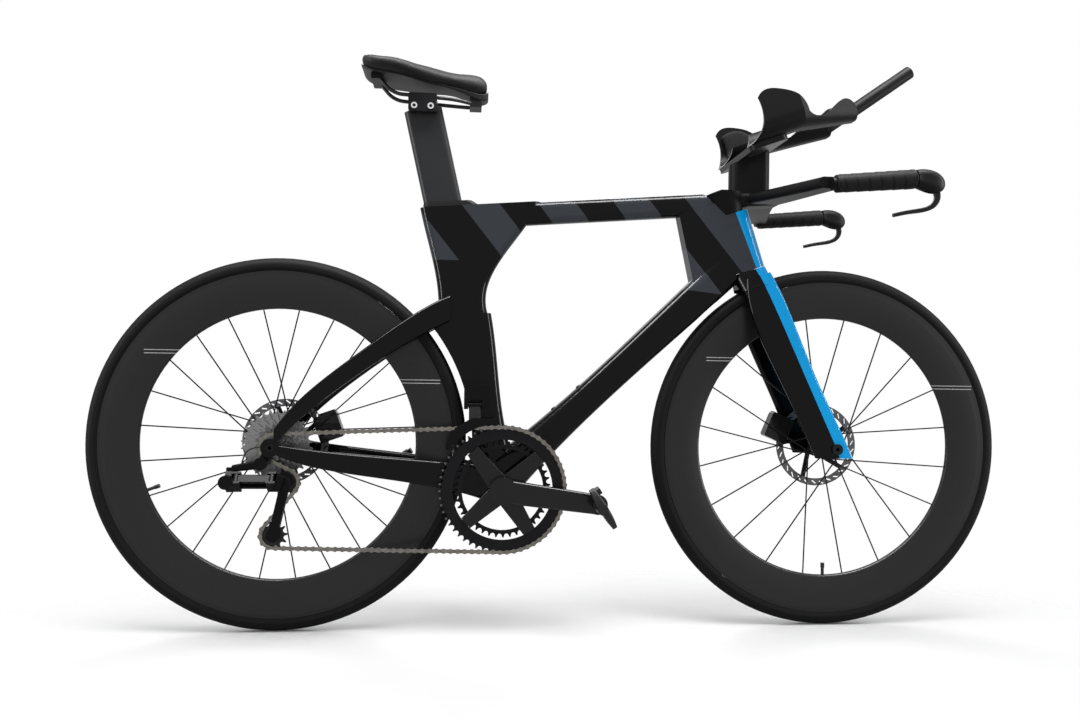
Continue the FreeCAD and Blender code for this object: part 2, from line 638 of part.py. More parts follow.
def pedal_body():
    """Clipless platform on a bearing sleeve, with a front hook and a rear clasp, flat along X."""
    inner = -d.crank_side - d.crank_thickness - 1.5
    outer = inner - d.pedal_width
    sleeve = cross_rod(0, 0, d.pedal_sleeve_radius, inner, outer)
    middle = (inner + outer) / 2 - 3
    sections = []
    for along, width, depth in ((-d.pedal_length * 0.42, d.pedal_width * 0.5, d.pedal_thickness * 0.7),
                                (-d.pedal_length * 0.15, d.pedal_width * 0.82, d.pedal_thickness),
                                (d.pedal_length * 0.2, d.pedal_width * 0.78, d.pedal_thickness),
                                (d.pedal_length * 0.5, d.pedal_width * 0.38, d.pedal_thickness * 0.6)):
        centre = Vector(along, middle, d.pedal_thickness * 0.2)
        sections.append(rounded(centre, EY, EZ, width, depth, depth * 0.3))
    platform = loft(sections)
    window = Part.makeBox(d.pedal_length * 0.2, d.pedal_width * 0.42, d.pedal_thickness * 3,
                          Vector(d.pedal_length * 0.18, middle - d.pedal_width * 0.21, -d.pedal_thickness))
    clasp = Part.makeBox(d.pedal_length * 0.12, d.pedal_width * 0.5, d.pedal_thickness * 0.8,
                         Vector(-d.pedal_length * 0.4, middle - d.pedal_width * 0.25, d.pedal_thickness * 0.3))
    body = sleeve.multiFuse([platform.cut(window), clasp])
    bore = cross_rod(0, 0, d.pedal_axle_radius + d.running_gap, inner, outer + 5)
    return body.cut(bore).removeSplitter()


def make_pedals():
    drop = math.radians(d.crank_drop_angle)
    for label, turn, shape in (("right_pedal", -drop, pedal_body()),
                               ("left_pedal", math.pi - drop, mirrored(pedal_body()))):
        shape.rotate(ORIGIN, EY, d.pedal_hang_angle)
        shape.translate(bottom_bracket + polar(d.crank_length, turn))
        piece(label, shape)


# Frame

def nosed(ahead, behind, along, width, tail_width):
    """Head section at one height on the steering axis: round nose, straight taper to a blunt tail."""
    half = width / 2
    inset = half * (1 - math.sqrt(0.5))
    left, right = steer(ahead - half, along, half), steer(ahead - half, along, -half)
    tip = steer(ahead, along)
    left_mid = steer(ahead - inset, along, half - inset)
    right_mid = steer(ahead - inset, along, inset - half)
    tail_left, tail_right = steer(-behind, along, tail_width / 2), steer(-behind, along, -tail_width / 2)
    edges = [Part.Arc(right, right_mid, tip), Part.Arc(tip, left_mid, left),
             Part.LineSegment(left, tail_left), Part.LineSegment(tail_left, tail_right),
             Part.LineSegment(tail_right, right)]
    return Part.Wire([edge.toShape() for edge in edges])


def level_section(rear, front, up, width):
    """Seat tube section at one height above the bottom bracket."""
    centre = from_bb((rear + front) / 2, up)
    return rounded(centre, EX, EY, front - rear, width, width * 0.46)


top_tube_rear = from_bb(-d.cluster_back, d.cluster_up)
top_tube_front = steer(-28, d.head_top + 28)
top_along = (top_tube_front - top_tube_rear).normalize()
top_up = Vector(-top_along.z, 0, top_along.x)
post_at = from_bb(-d.post_back, d.post_up)
post_lean = math.radians(d.seat_angle)
post_up_axis = Vector(-math.cos(post_lean), 0, math.sin(post_lean))
post_ahead = Vector(math.sin(post_lean), 0, math.cos(post_lean))


def above_top_tube(height):
    """Half space over the frame's top edge, raised by the height."""
    corner = top_tube_rear + top_up * (d.top_tube_depth / 2 + height) - top_along * 400 - EY * 200
    block = Part.makeBox(1000, 400, 400)
    block.Placement = Placement(corner, Rotation(top_along, EY, top_up, "XYZ"))
    return block


def down_tube():
    foot, top = from_bb(9, 26), steer(-12, d.head_bottom + 26)
    along = (top - foot).normalize()
    across = Vector(-along.z, 0, along.x)
    sections = []
    for share, depth, width in ((0, d.down_tube_foot_depth, d.down_tube_foot_width),
                                (0.2, d.down_tube_depth * 1.05, d.down_tube_width * 1.12),
                                (0.6, d.down_tube_depth, d.down_tube_width),
                                (1, d.down_tube_depth * 1.12, d.down_tube_width)):
        centre = foot + (top - foot) * share
        sections.append(rounded(centre, across, EY, depth, width, width * 0.36))
    return loft(sections)


def top_tube():
    sections = []
    for centre, width in ((top_tube_rear - top_along * 20, d.top_tube_width * 0.92),
                          (top_tube_rear + top_along * 220, d.top_tube_width * 0.94),
                          (top_tube_front, d.top_tube_width * 1.1)):
        sections.append(rounded(centre, top_up, EY, d.top_tube_depth, width, width * 0.4))
    return loft(sections)


def seat_tube():
    width = d.seat_tube_width
    lower = loft([level_section(-38, 40, 12, width * 1.7), level_section(-71, 3, 120, width * 1.1),
                  level_section(-121, -11, 227, width), level_section(-138, -24, 322, width)])
    upper = loft([level_section(-123, -22, 302, width), level_section(-125, -30, 375, width),
                  level_section(-152, 41, 489, width), level_section(-161, 66, 534, width)])
    return lower.fuse(upper.cut(above_top_tube(0)))


def bearing_height_bands():
    bottom = d.head_bottom + d.steer_gap / 2
    return ((bottom, bottom + d.bearing_height), (d.head_top - d.bearing_height, d.head_top))


def make_front_triangle():
    bottom = d.head_bottom + d.steer_gap / 2
    head = loft([nosed(d.head_nose, d.head_tail, bottom, d.head_width, d.down_tube_width * 0.8),
                 nosed(d.head_nose, d.head_tail - 14, d.head_top + 28, d.head_width, d.top_tube_width * 0.9)])
    shell = cross_rod(bottom_bracket.x, bottom_bracket.z, d.bb_shell_radius,
                      -d.bb_shell_half_width, d.bb_shell_half_width)
    body = down_tube().multiFuse([top_tube(), seat_tube(), head, shell])
    cone_height = 70
    collar = Part.makeCone(d.collar_radius + d.collar_gap,
                           d.collar_radius + d.collar_gap + d.collar_slope * cone_height, cone_height,
                           steer(0, d.head_top), steer_up)
    front = Part.makeBox(100, 120, cone_height)
    front.Placement = Placement(steer(0, d.head_top, -60), Rotation(steer_ahead, EY, steer_up, "XYZ"))
    tools = [collar, front,
             rod(steer(0, d.head_bottom - 70), steer(0, bottom), d.crown_recess_radius),
             rod(steer(0, bottom - 5), steer(0, d.head_top + 5), d.head_bore_radius),
             cross_rod(0, 0, d.tyre_radius + d.wheel_gap, -70, 70),
             cross_rod(d.wheelbase, 0, d.tyre_radius + d.wheel_gap, -70, 70),
             cross_rod(bottom_bracket.x, bottom_bracket.z, d.bb_bore_radius, -60, 60)]
    for low, high in bearing_height_bands():
        tools.append(rod(steer(0, low - 0.2), steer(0, high), d.bearing_radius))
    pocket = rounded(post_at - post_up_axis * d.post_pocket, post_ahead, EY, d.post_chord + 2 * d.post_gap,
                     d.post_width + 2 * d.post_gap, d.post_width * 0.46)
    tools.append(Part.Face(pocket).extrude(post_up_axis * (d.post_pocket + 40)))
    for tool in tools:
        body = body.cut(tool)
    solid = max(body.Solids, key=lambda item: item.Volume).removeSplitter()
    piece("front_triangle", solid)
    return solid


def make_headset():
    rings = []
    for low, high in bearing_height_bands():
        inner_low, inner_high = low + 0.1, high - 0.1
        ring = rod(steer(0, inner_low), steer(0, inner_high), d.bearing_radius - d.running_gap)
        rings.append(ring.cut(rod(steer(0, low - 1), steer(0, high + 1), d.steerer_radius + d.running_gap)))
    piece("headset_bearings", Part.makeCompound(rings))


def make_bottom_bracket():
    half = d.bb_shell_half_width
    cup = cross_rod(0, 0, d.bb_bore_radius - d.running_gap, half - 12, half + 0.1)
    cup = cup.fuse(cross_rod(0, 0, d.bb_bore_radius + 4, half + 0.1, half + d.bb_cup_flange))
    cup = cup.cut(cross_rod(0, 0, d.spindle_radius + d.running_gap, 0, half * 2)).removeSplitter()
    cups = both_sides(cup)
    cups.translate(bottom_bracket)
    piece("bottom_bracket_cups", cups)


def dropout(start, end):
    """Round tab that carries the axle at the end of a stay."""
    tab = cross_rod(0, 0, d.dropout_radius, start, end)
    return tab.cut(cross_rod(0, 0, d.axle_radius + d.running_gap, start - 1, end + 1))


def stay(rows, rear_side, flip):
    """Loft through upright sections: (place on X, side at the front of the row, top, bottom, width)."""
    sections = []
    for x, side, top, bottom, width in rows:
        centre = Vector(x, flip * (rear_side if side is None else side), (top + bottom) / 2)
        sections.append(rounded(centre, EZ, EY, top - bottom, width, width * 0.42))
    return loft(sections)


right_tab = (-d.rear_hub_width / 2 - d.hanger_thickness - d.dropout_thickness,
             -d.rear_hub_width / 2 - d.hanger_thickness)
left_tab = (d.rear_hub_width / 2, d.rear_hub_width / 2 + d.dropout_thickness)


def make_stays(front_triangle):
    bb_x, bb_z = bottom_bracket.x, bottom_bracket.z
    lower_rows = [(11, None, 5, -13, d.dropout_thickness * 0.9), (62, 73, -3, -32, 9), (150, 60, -13, -50, 13),
                  (244, 43, -22, -66, 15), (310, 30, bb_z + 48, bb_z - 3, 15),
                  (bb_x - 21, 29, bb_z + 39, bb_z - 26, 15)]
    upper_rows = [(6, None, 33, 4, d.dropout_thickness * 0.8), (60, 67, 97, 60, d.stay_width * 0.85),
                  (150, 44.5, 172, 132, d.stay_width * 0.92), (240, 27, 239, 192, d.stay_width),
                  (306, 17, 276, 228, d.stay_width * 1.2)]
    bore = cross_rod(0, 0, d.axle_radius + d.running_gap, -120, 120)
    chain_sides, seat_sides = [], []
    for flip, (start, end) in ((-1, right_tab), (1, left_tab)):
        middle = abs(start + end) / 2
        tab = dropout(start, end)
        chain_side = stay(lower_rows, middle, flip).fuse(tab).cut(bore).cut(front_triangle)
        chain_side = max(chain_side.Solids, key=lambda item: item.Volume).removeSplitter()
        seat_side = stay(upper_rows, middle, flip).cut(front_triangle).cut(chain_side).cut(bore)
        chain_sides.append(chain_side)
        seat_sides.append(max(seat_side.Solids, key=lambda item: item.Volume))
    piece("chain_stays", Part.makeCompound(chain_sides))
    piece("seat_stays", Part.makeCompound(seat_sides))
    return Part.makeCompound(chain_sides + seat_sides)


def make_axles():
    """Hollow through axles with a shoulder head on one side."""
    body, bore = "axle_radius", "axle_bore_radius"
    right_end = "-rear_hub_width / 2 - hanger_thickness - dropout_thickness"
    left_end = "rear_hub_width / 2 + dropout_thickness"
    lathe("rear_axle", [(bore, right_end), (body, right_end), (body, left_end), ("axle_radius + 3.5", left_end),
                        ("axle_radius + 3.5", left_end + " + 4"), (bore, left_end + " + 4")])
    right_face = "-front_hub_width / 2 - leg_tip_width"
    left_face = "front_hub_width / 2 + leg_tip_width"
    lathe("front_axle", [(bore, right_face + " - 4"), ("axle_radius + 4", right_face + " - 4"),
                         ("axle_radius + 4", right_face), (body, right_face), (body, left_face),
                         (bore, left_face)],
          front_axle_at)


# Seat

def make_seat_post():
    """Aero post in the frame's pocket; its head takes two cross bolts."""
    base = post_at - post_up_axis * d.post_insert
    section = rounded(base, post_ahead, EY, d.post_chord, d.post_width, d.post_width * 0.46)
    post = Part.Face(section).extrude(post_up_axis * (d.post_insert + d.post_height))
    head = Part.makeCylinder(d.clamp_bolt_spacing * 0.75, d.post_width, Vector(0, -d.post_width / 2, 0), EY)
    head.translate(clamp_at - EZ * 2)
    post = post.fuse(head)
    for x in bolt_places():
        post = post.cut(cross_rod(x, clamp_at.z, d.clamp_bolt_radius + d.running_gap, -60, 60))
    post = post.removeSplitter()
    piece("seat_post", post)
    return post


clamp_at = post_at + post_up_axis * (d.post_height - 1)
rail_level = clamp_at.z + d.rail_rise + 3


def bolt_places():
    return (clamp_at.x - d.clamp_bolt_spacing / 2, clamp_at.x + d.clamp_bolt_spacing / 2)


def make_gasket():
    """Rubber boot that closes the gap round the post, drawn out to a point towards the front."""
    rows = []
    for height, length, width in ((0.1, 1, d.seat_tube_width * 0.88),
                                  (d.gasket_height, 0.86, d.seat_tube_width * 0.86)):
        rear = post_at - post_ahead * (d.post_chord / 2 + 4)
        reach = (d.post_chord / 2 + 4 + d.gasket_reach) * length
        centre = rear + top_along * (reach / 2 + height * 0.2) + top_up * height
        level = (top_tube_rear + top_up * (d.top_tube_depth / 2 + height) - centre).dot(top_up)
        centre = centre + top_up * level
        rows.append(rounded(centre, top_along, EY, reach, width, width * 0.46))
    boot = loft(rows, True)
    hole = rounded(post_at - post_up_axis * 30, post_ahead, EY, d.post_chord + 2 * d.post_gap,
                   d.post_width + 2 * d.post_gap, d.post_width * 0.46)
    boot = boot.cut(Part.Face(hole).extrude(post_up_axis * 80))
    piece("seatpost_gasket", max(boot.Solids, key=lambda item: item.Volume))


def rail_path(side):
    """Rail from the nose socket back along the clamp and up to the tail socket."""
    nose = Vector(saddle_x(0.9), side * d.nose_spread / d.rail_spread, rail_level - 9)
    front = Vector(saddle_x(0.74), side, rail_level - 4)
    rear = Vector(saddle_x(0.24), side, rail_level + 3)
    tail = Vector(saddle_x(0.12), side, saddle_top(0.12) - d.saddle_thickness - 4)
    return bent_rod([nose, front, rear, tail], d.rail_radius)


def bent_rod(points, radius):
    """Round rod along straight runs joined by tangent arcs."""
    edges = []
    start = points[0]
    for before, corner, after in zip(points, points[1:], points[2:]):
        back, onward = (before - corner).normalize(), (after - corner).normalize()
        half_turn = (math.pi - back.getAngle(onward)) / 2
        trim = 0.45 * min((before - corner).Length, (after - corner).Length)
        arc_radius = trim / math.tan(half_turn)
        entry, leave = corner + back * trim, corner + onward * trim
        inwards = (back + onward).normalize()
        middle = corner + inwards * (math.hypot(trim, arc_radius) - arc_radius)
        edges.append(Part.LineSegment(start, entry).toShape())
        edges.append(Part.Arc(entry, middle, leave).toShape())
        start = leave
    edges.append(Part.LineSegment(start, points[-1]).toShape())
    path = Part.Wire(edges)
    disc = Part.Wire([Part.Circle(points[0], points[1] - points[0], radius).toShape()])
    return path.makePipeShell([disc], True, False)


def saddle_x(share):
    return clamp_at.x - d.saddle_length * 0.48 + d.saddle_length * share


def saddle_top(share):
    """Height of the seat's middle line: a high tail that falls in a curve to the nose."""
    nose_top = clamp_at.z + d.saddle_rise - 6
    return nose_top + d.saddle_length * math.tan(math.radians(d.saddle_tilt)) * 1.25 * (1 - share) ** 1.45


# Share of the length, share of the width, share of the thickness and drop of the crown.
SADDLE_ROWS = ((0.0, 0.58, 0.55, 3), (0.035, 0.8, 0.9, 0), (0.12, 0.95, 1, 0), (0.24, 1, 1, 0),
               (0.42, 0.84, 1.02, 0), (0.62, 0.56, 1.05, 0), (0.82, 0.41, 1.16, 0), (0.95, 0.34, 1.2, 2),
               (1.0, 0.22, 0.6, 12))


def make_saddle():
    cover_rows, shell_rows = [], []
    for share, wide, deep, drop in SADDLE_ROWS:
        x, top = saddle_x(share), saddle_top(share) - drop
        half = d.saddle_width * wide / 2
        height = d.saddle_thickness * deep
        bottom = top - height
        foot_left, foot_right = Vector(x, half * 0.8, bottom), Vector(x, -half * 0.8, bottom)
        shoulder_left = Vector(x, half * 0.78, top - height * 0.2)
        shoulder_right = Vector(x, -half * 0.78, top - height * 0.2)
        edges = [Part.LineSegment(foot_right, foot_left),
                 Part.Arc(foot_left, Vector(x, half, top - height * 0.58), shoulder_left),
                 Part.Arc(shoulder_left, Vector(x, 0, top), shoulder_right),
                 Part.Arc(shoulder_right, Vector(x, -half, top - height * 0.58), foot_right)]
        cover_rows.append(Part.Wire([edge.toShape() for edge in edges]))
        tall = d.shell_thickness * (1 + 2.4 * max(0, share - 0.7) / 0.3)
        centre = Vector(x, 0, bottom - d.side_gap - tall / 2)
        shell_rows.append(rounded(centre, EY, EZ, half * 1.5, tall, d.shell_thickness * 0.4))
    rails = [rail_path(d.rail_spread / 2), rail_path(-d.rail_spread / 2)]
    shell = loft(shell_rows)
    socket = Part.makeBox(20, d.rail_spread + 16, 10)
    socket_foot = saddle_top(0.12) - d.saddle_thickness - 13
    socket.translate(Vector(saddle_x(0.12) - 10, -d.rail_spread / 2 - 8, socket_foot))
    nose = Part.makeBox(22, d.nose_spread + 12, 23)
    nose.translate(Vector(saddle_x(0.9) - 11, -d.nose_spread / 2 - 6, rail_level - 15))
    shell = shell.multiFuse([socket, nose])
    cover = loft(cover_rows)
    for rail in rails:
        shell = shell.cut(rail)
    shell = shell.cut(cover)
    piece("saddle_cover", cover)
    piece("saddle_shell", max(shell.Solids, key=lambda item: item.Volume).removeSplitter())
    piece("saddle_rails", Part.makeCompound(rails))
    return rails


def make_clamp(rails):
    """A cheek on each side of the post head that grips one rail, drawn together by two cross bolts."""
    inner, outer = d.post_width / 2 + 0.1, d.rail_spread / 2 + d.rail_radius + 3
    low, high = clamp_at.z - 9, rail_level + d.rail_radius + 1
    foot = Vector(clamp_at.x - d.clamp_length / 2, inner, low)
    cheek = Part.makeBox(d.clamp_length, outer - inner, high - low, foot)
    cheek = cheek.makeFillet(4, cross_edges(cheek))
    pair = []
    for side, rail in ((1, rails[0]), (-1, rails[1])):
        half = cheek.copy() if side == 1 else mirrored(cheek)
        half = half.cut(rail)
        for x in bolt_places():
            half = half.cut(cross_rod(x, clamp_at.z, d.clamp_bolt_radius + d.running_gap, -60, 60))
        pair.append(half)
    piece("saddle_clamp", Part.makeCompound(pair))
    bolts = []
    for x in bolt_places():
        shank = cross_rod(x, clamp_at.z, d.clamp_bolt_radius, -outer - 3, outer + 3)
        heads = [cross_rod(x, clamp_at.z, d.clamp_bolt_radius * 1.9, side * (outer + 0.1), side * (outer + 4))
                 for side in (1, -1)]
        bolts.append(shank.multiFuse(heads).removeSplitter())
    piece("saddle_bolts", Part.makeCompound(bolts))


# Fork

def steer_section(behind, ahead, along, side, width):
    centre = steer((ahead - abs(behind)) / 2 if behind < 0 else (ahead + behind) / 2, along, side)
    return rounded(centre, steer_ahead, EY, ahead - behind, width, width * 0.46)


def make_fork():
    top = d.head_bottom - d.steer_gap / 2
    leg = loft([steer_section(-16, 35, top - 14, 22, d.leg_top_width * 1.3),
                steer_section(-25, 39, top - 46, 31, d.leg_top_width),
                steer_section(51 - d.leg_depth, 51, 150, 45, d.leg_top_width * 0.82),
                steer_section(68 - d.leg_depth, 68, 0, (d.front_hub_width + d.leg_tip_width) / 2,
                              d.leg_tip_width),
                steer_section(72 - d.leg_depth, 72, -40, (d.front_hub_width + d.leg_tip_width) / 2 + 0.5,
                              d.leg_tip_width)])
    crown_top = rounded(steer(1.5, top), steer_ahead, EY, 67, d.head_width, d.head_width * 0.46)
    crown_low = rounded(steer(3.5, top - 34), steer_ahead, EY, 67, d.head_width * 1.62, d.head_width * 0.5)
    crown = loft([crown_top, crown_low], True)
    steerer = rod(steer(0, top - 10), steer(0, d.head_top + 26), d.steerer_radius)
    body = crown.multiFuse([leg, mirrored(leg), steerer])
    floor = Part.makeBox(400, 400, 200, Vector(d.wheelbase - 200, -200, -d.fork_tip_below - 200))
    slot = cross_rod(d.wheelbase, 0, d.tyre_radius + d.fork_wheel_gap, -d.rim_width / 2 - d.tyre_side_gap,
                     d.rim_width / 2 + d.tyre_side_gap)
    bore = cross_rod(d.wheelbase, 0, d.axle_radius + d.running_gap, -100, 100)
    inside = cross_rod(d.wheelbase, 0, 60, -d.front_hub_width / 2, d.front_hub_width / 2)
    face = d.front_hub_width / 2 + d.leg_tip_width
    seats = [cross_rod(d.wheelbase, 0, d.axle_radius + 5, side * face, side * (face + 20)) for side in (-1, 1)]
    for tool in [floor, slot, bore, inside] + seats:
        body = body.cut(tool)
    fork = max(body.Solids, key=lambda item: item.Volume).removeSplitter()
    piece("fork", fork)
    return fork


# Cockpit

tilt = math.radians(d.bracket_tilt)
bracket_along = Vector(math.cos(tilt), 0, math.sin(tilt))
bracket_up = Vector(-math.sin(tilt), 0, math.cos(tilt))
stem_at = steer(0, d.head_top)
riser_at = Vector(stem_at.x + d.riser_ahead, 0, d.stem_top)
bracket_foot = Vector(riser_at.x - d.bracket_back, 0, d.bracket_height)
grip_rise = math.tan(math.radians(d.grip_slope))
grip_up = Vector(-grip_rise, 0, 1).normalize()


def on_bracket(along, height, side=0.0):
    return bracket_foot + bracket_along * along + bracket_up * height + EY * side


def over_bracket(height):
    reach = 3 * d.bracket_half_width
    block = Part.makeBox(2 * reach, 2 * reach, 2 * reach)
    turn = Rotation(bracket_along, EY, bracket_up, "XYZ")
    block.Placement = Placement(on_bracket(-reach, height, -reach), turn)
    return block


def grip_point(ahead, side):
    """A point on the grip's middle line, measured ahead of the stem."""
    return Vector(stem_at.x + ahead, side, d.grip_height + (ahead - d.grip_start) * grip_rise)


def make_base_bar():
    """One carbon moulding: collar on the steerer, flat stem top, two wings and the grip stubs."""
    foot = d.head_top + d.collar_gap
    height = 46
    collar = Part.makeCone(collar_radius_at(foot), collar_radius_at(foot + height), height,
                           steer(0, foot), steer_up)
    top = Part.makeBox(500, 500, 100, Vector(stem_at.x - 250, -250, d.stem_top))
    nose = steer(d.head_nose - 4, foot)
    front = [rounded(Vector(nose.x - 45, 0, d.stem_top - 14), EZ, EY, 28, d.stem_width * 0.9, 11),
             rounded(Vector(nose.x + 5, 0, d.stem_top - 13), EZ, EY, 26, d.stem_width, 11),
             rounded(Vector(nose.x + 60, 0, d.stem_top - 11), EZ, EY, 22, d.stem_width * 1.1, 9)]
    stem = loft(front)
    wing_rows = []
    for side, ahead, chord in ((0, 57, 1.35), (80, 78, 1.2), (150, 105, 0.98),
                               (d.bar_half_width - 7, 121, 0.9)):
        level = d.grip_height + 4 if side else d.stem_top - 11
        wing_rows.append(rounded(Vector(stem_at.x + ahead, side, level), EX, EZ, d.wing_chord * chord,
                                 d.wing_thickness, d.wing_thickness * 0.46))
    wing = loft(wing_rows)
    grip = rod(grip_point(d.grip_start, d.bar_half_width), grip_point(d.grip_end, d.bar_half_width),
               d.grip_radius)
    body = collar.cut(top).multiFuse([stem, wing, mirrored(wing), grip, mirrored(grip)])
    body = body.cut(rod(steer(0, foot - 10), steer(0, d.head_top + 26.5), d.steerer_radius + d.running_gap))
    piece("base_bar", max(body.Solids, key=lambda item: item.Volume).removeSplitter())


def make_bar_tape():
    start, end = d.grip_start + d.wing_chord * 0.55, d.grip_end - d.tape_end_gap
    first, last = grip_point(start, d.bar_half_width), grip_point(end, d.bar_half_width)
    sleeve = rod(first, last, d.grip_radius + d.tape_thickness)
    sleeve = sleeve.cut(rod(first, last, d.grip_radius + d.running_gap))
    piece("bar_tape", both_sides(sleeve))


lever_pivot = grip_point(d.grip_end + d.housing_length * 0.62, d.bar_half_width) - EZ * 11


def lever_housing():
    """Bar-end brake body with a drooping nose, a slot from below for the lever and its cross pin."""
    outer = d.grip_radius + d.tape_thickness
    rows = []
    for share, drop, tall, wide in ((0, 0, 2 * outer, 2 * outer), (0.44, 5, d.housing_depth, outer * 1.85),
                                    (0.86, 10, d.housing_depth * 0.76, outer * 1.5),
                                    (1, 11, outer, outer * 0.8)):
        centre = grip_point(d.grip_end + 0.1 + d.housing_length * share, d.bar_half_width) - EZ * drop
        rows.append(rounded(centre, grip_up, EY, tall, wide, min(tall, wide) * 0.46))
    body = loft(rows)
    room = d.lever_thickness + 2 * d.lever_gap
    slot = Part.makeBox(32, room, d.housing_depth)
    slot.translate(lever_pivot + Vector(-17, -room / 2, d.lever_eye_radius + 1.2 - d.housing_depth))
    pin = cross_rod(lever_pivot.x, lever_pivot.z, d.lever_pin_radius, d.bar_half_width - outer * 0.6,
                    d.bar_half_width + outer * 0.6)
    return max(body.cut(slot).Solids, key=lambda item: item.Volume).fuse(pin).removeSplitter()


# Middle line of the lever from its pin: ahead, down and the depth of the blade there.
LEVER_ROWS = ((0, 0, 11), (7, 13, 11), (8, 24, 10), (1, 36, 9), (-12, 43, 8), (-46, 49.5, 7), (-70, 55, 6.5))


def brake_lever():
    """Forged blade: eye on the pin, a bow down from the nose and a long finger run back under the grip."""
    half = d.lever_thickness / 2
    line = [lever_pivot + Vector(ahead, -d.bar_half_width, -down) for ahead, down, _ in LEVER_ROWS]
    rows = []
    for index, (spot, row) in enumerate(zip(line, LEVER_ROWS)):
        before, after = line[max(index - 1, 0)], line[min(index + 1, len(line) - 1)]
        along = (after - before).normalize()
        across = Vector(-along.z, 0, along.x)
        rows.append(rounded(spot, across, EY, row[2], d.lever_thickness, 2))
    tip = line[-1] + Vector(-4, 0, -5)
    parts = [loft(rows), cross_rod(line[0].x, line[0].z, d.lever_eye_radius, -half, half),
             cross_rod(tip.x, tip.z, d.lever_tip_radius, -half, half)]
    blade = parts[0].multiFuse(parts[1:])
    hole = cross_rod(line[0].x, line[0].z, d.lever_pin_radius + d.running_gap, -20, 20)
    blade = max(blade.cut(hole).Solids, key=lambda item: item.Volume).removeSplitter()
    blade.translate(EY * d.bar_half_width)
    return blade


def make_riser_and_bracket():
    foot = riser_at + EZ * d.seat_on_bracket
    riser = Part.Face(rounded(foot, EX, EY, d.riser_chord, d.riser_width, d.riser_width * 0.46))
    riser = riser.extrude(EZ * (d.bracket_height - d.stem_top + d.riser_chord))
    piece("riser", riser.cut(over_bracket(0)))
    middle = on_bracket(d.bracket_length / 2, d.seat_on_bracket)
    slab = Part.Face(rounded(middle, bracket_along, EY, d.bracket_length, 2 * d.bracket_half_width, 16))
    slab = slab.extrude(bracket_up * (d.bracket_thickness - d.seat_on_bracket))
    windows = []
    for side in (-1, 1):
        centre = on_bracket(d.bracket_length / 2, -d.bracket_thickness, side * 34)
        window = Part.Face(rounded(centre, bracket_along, EY, d.bracket_length * 0.5, 22, 9))
        windows.append(window.extrude(bracket_up * 3 * d.bracket_thickness))
    piece("extension_bracket", slab.cut(Part.makeCompound(windows)))


def trough_section(along, side, width, floor):
    """Rounded section across one arm, far taller than the arm rest, with its foot at the given height."""
    tall = 2 * d.cup_width
    return rounded(on_bracket(along, floor + tall / 2, side), bracket_up, EY, tall, width, width * 0.36)


def trough(inset, floor):
    """Straight run under the elbow that narrows and turns in towards the wrist."""
    wide, slim = d.cup_width - 2 * inset, d.wrist_width - 2 * inset
    half_way = (wide + slim) / 2
    straight = Part.Face(trough_section(-30, d.cup_side, wide, floor)).extrude(bracket_along * 132)
    front = loft([trough_section(102, d.cup_side, wide, floor),
                  trough_section(162, (d.cup_side + d.wrist_side) / 2, half_way, floor - 7),
                  trough_section(226, d.wrist_side, slim, floor - 15)])
    return straight, front


# Side view of the arm rest, along the bracket and above it: elbow edge, crown and wrist hump.
ELBOW_EDGE = ((-6, 6), (21, 30), (30, 58), (29, 82))
ELBOW_CROWN = ((29, 82), (42, 90.5), (73, 84), (105, 61), (113, 32))
WRIST_HUMP = ((113, 32), (129, 21), (166, 27), (203, 38), (222, 22))


def side_curve(points):
    curve = Part.BSplineCurve()
    curve.interpolate([on_bracket(along, height, -2 * d.cup_width) for along, height in points])
    return curve.toShape()


def side_line(first, last):
    ends = [on_bracket(along, height, -2 * d.cup_width) for along, height in (first, last)]
    return Part.LineSegment(*ends).toShape()


def side_block(edges, outer_side=None):
    """A block across the arm from the far side of the bike out to the given side."""
    reach = 2 * d.cup_width + (2 * d.cup_width if outer_side is None else outer_side)
    return Part.Face(Part.Wire(edges)).extrude(EY * reach)


def above_inner_wall(height):
    """The room over the low wall on the inner side of an arm rest."""
    corners = [(-40, height), (240, height), (240, 120), (-40, 120)]
    return side_block([side_line(*ends) for ends in zip(corners, corners[1:] + corners[:1])],
                      d.cup_side - d.cup_width * 0.12)


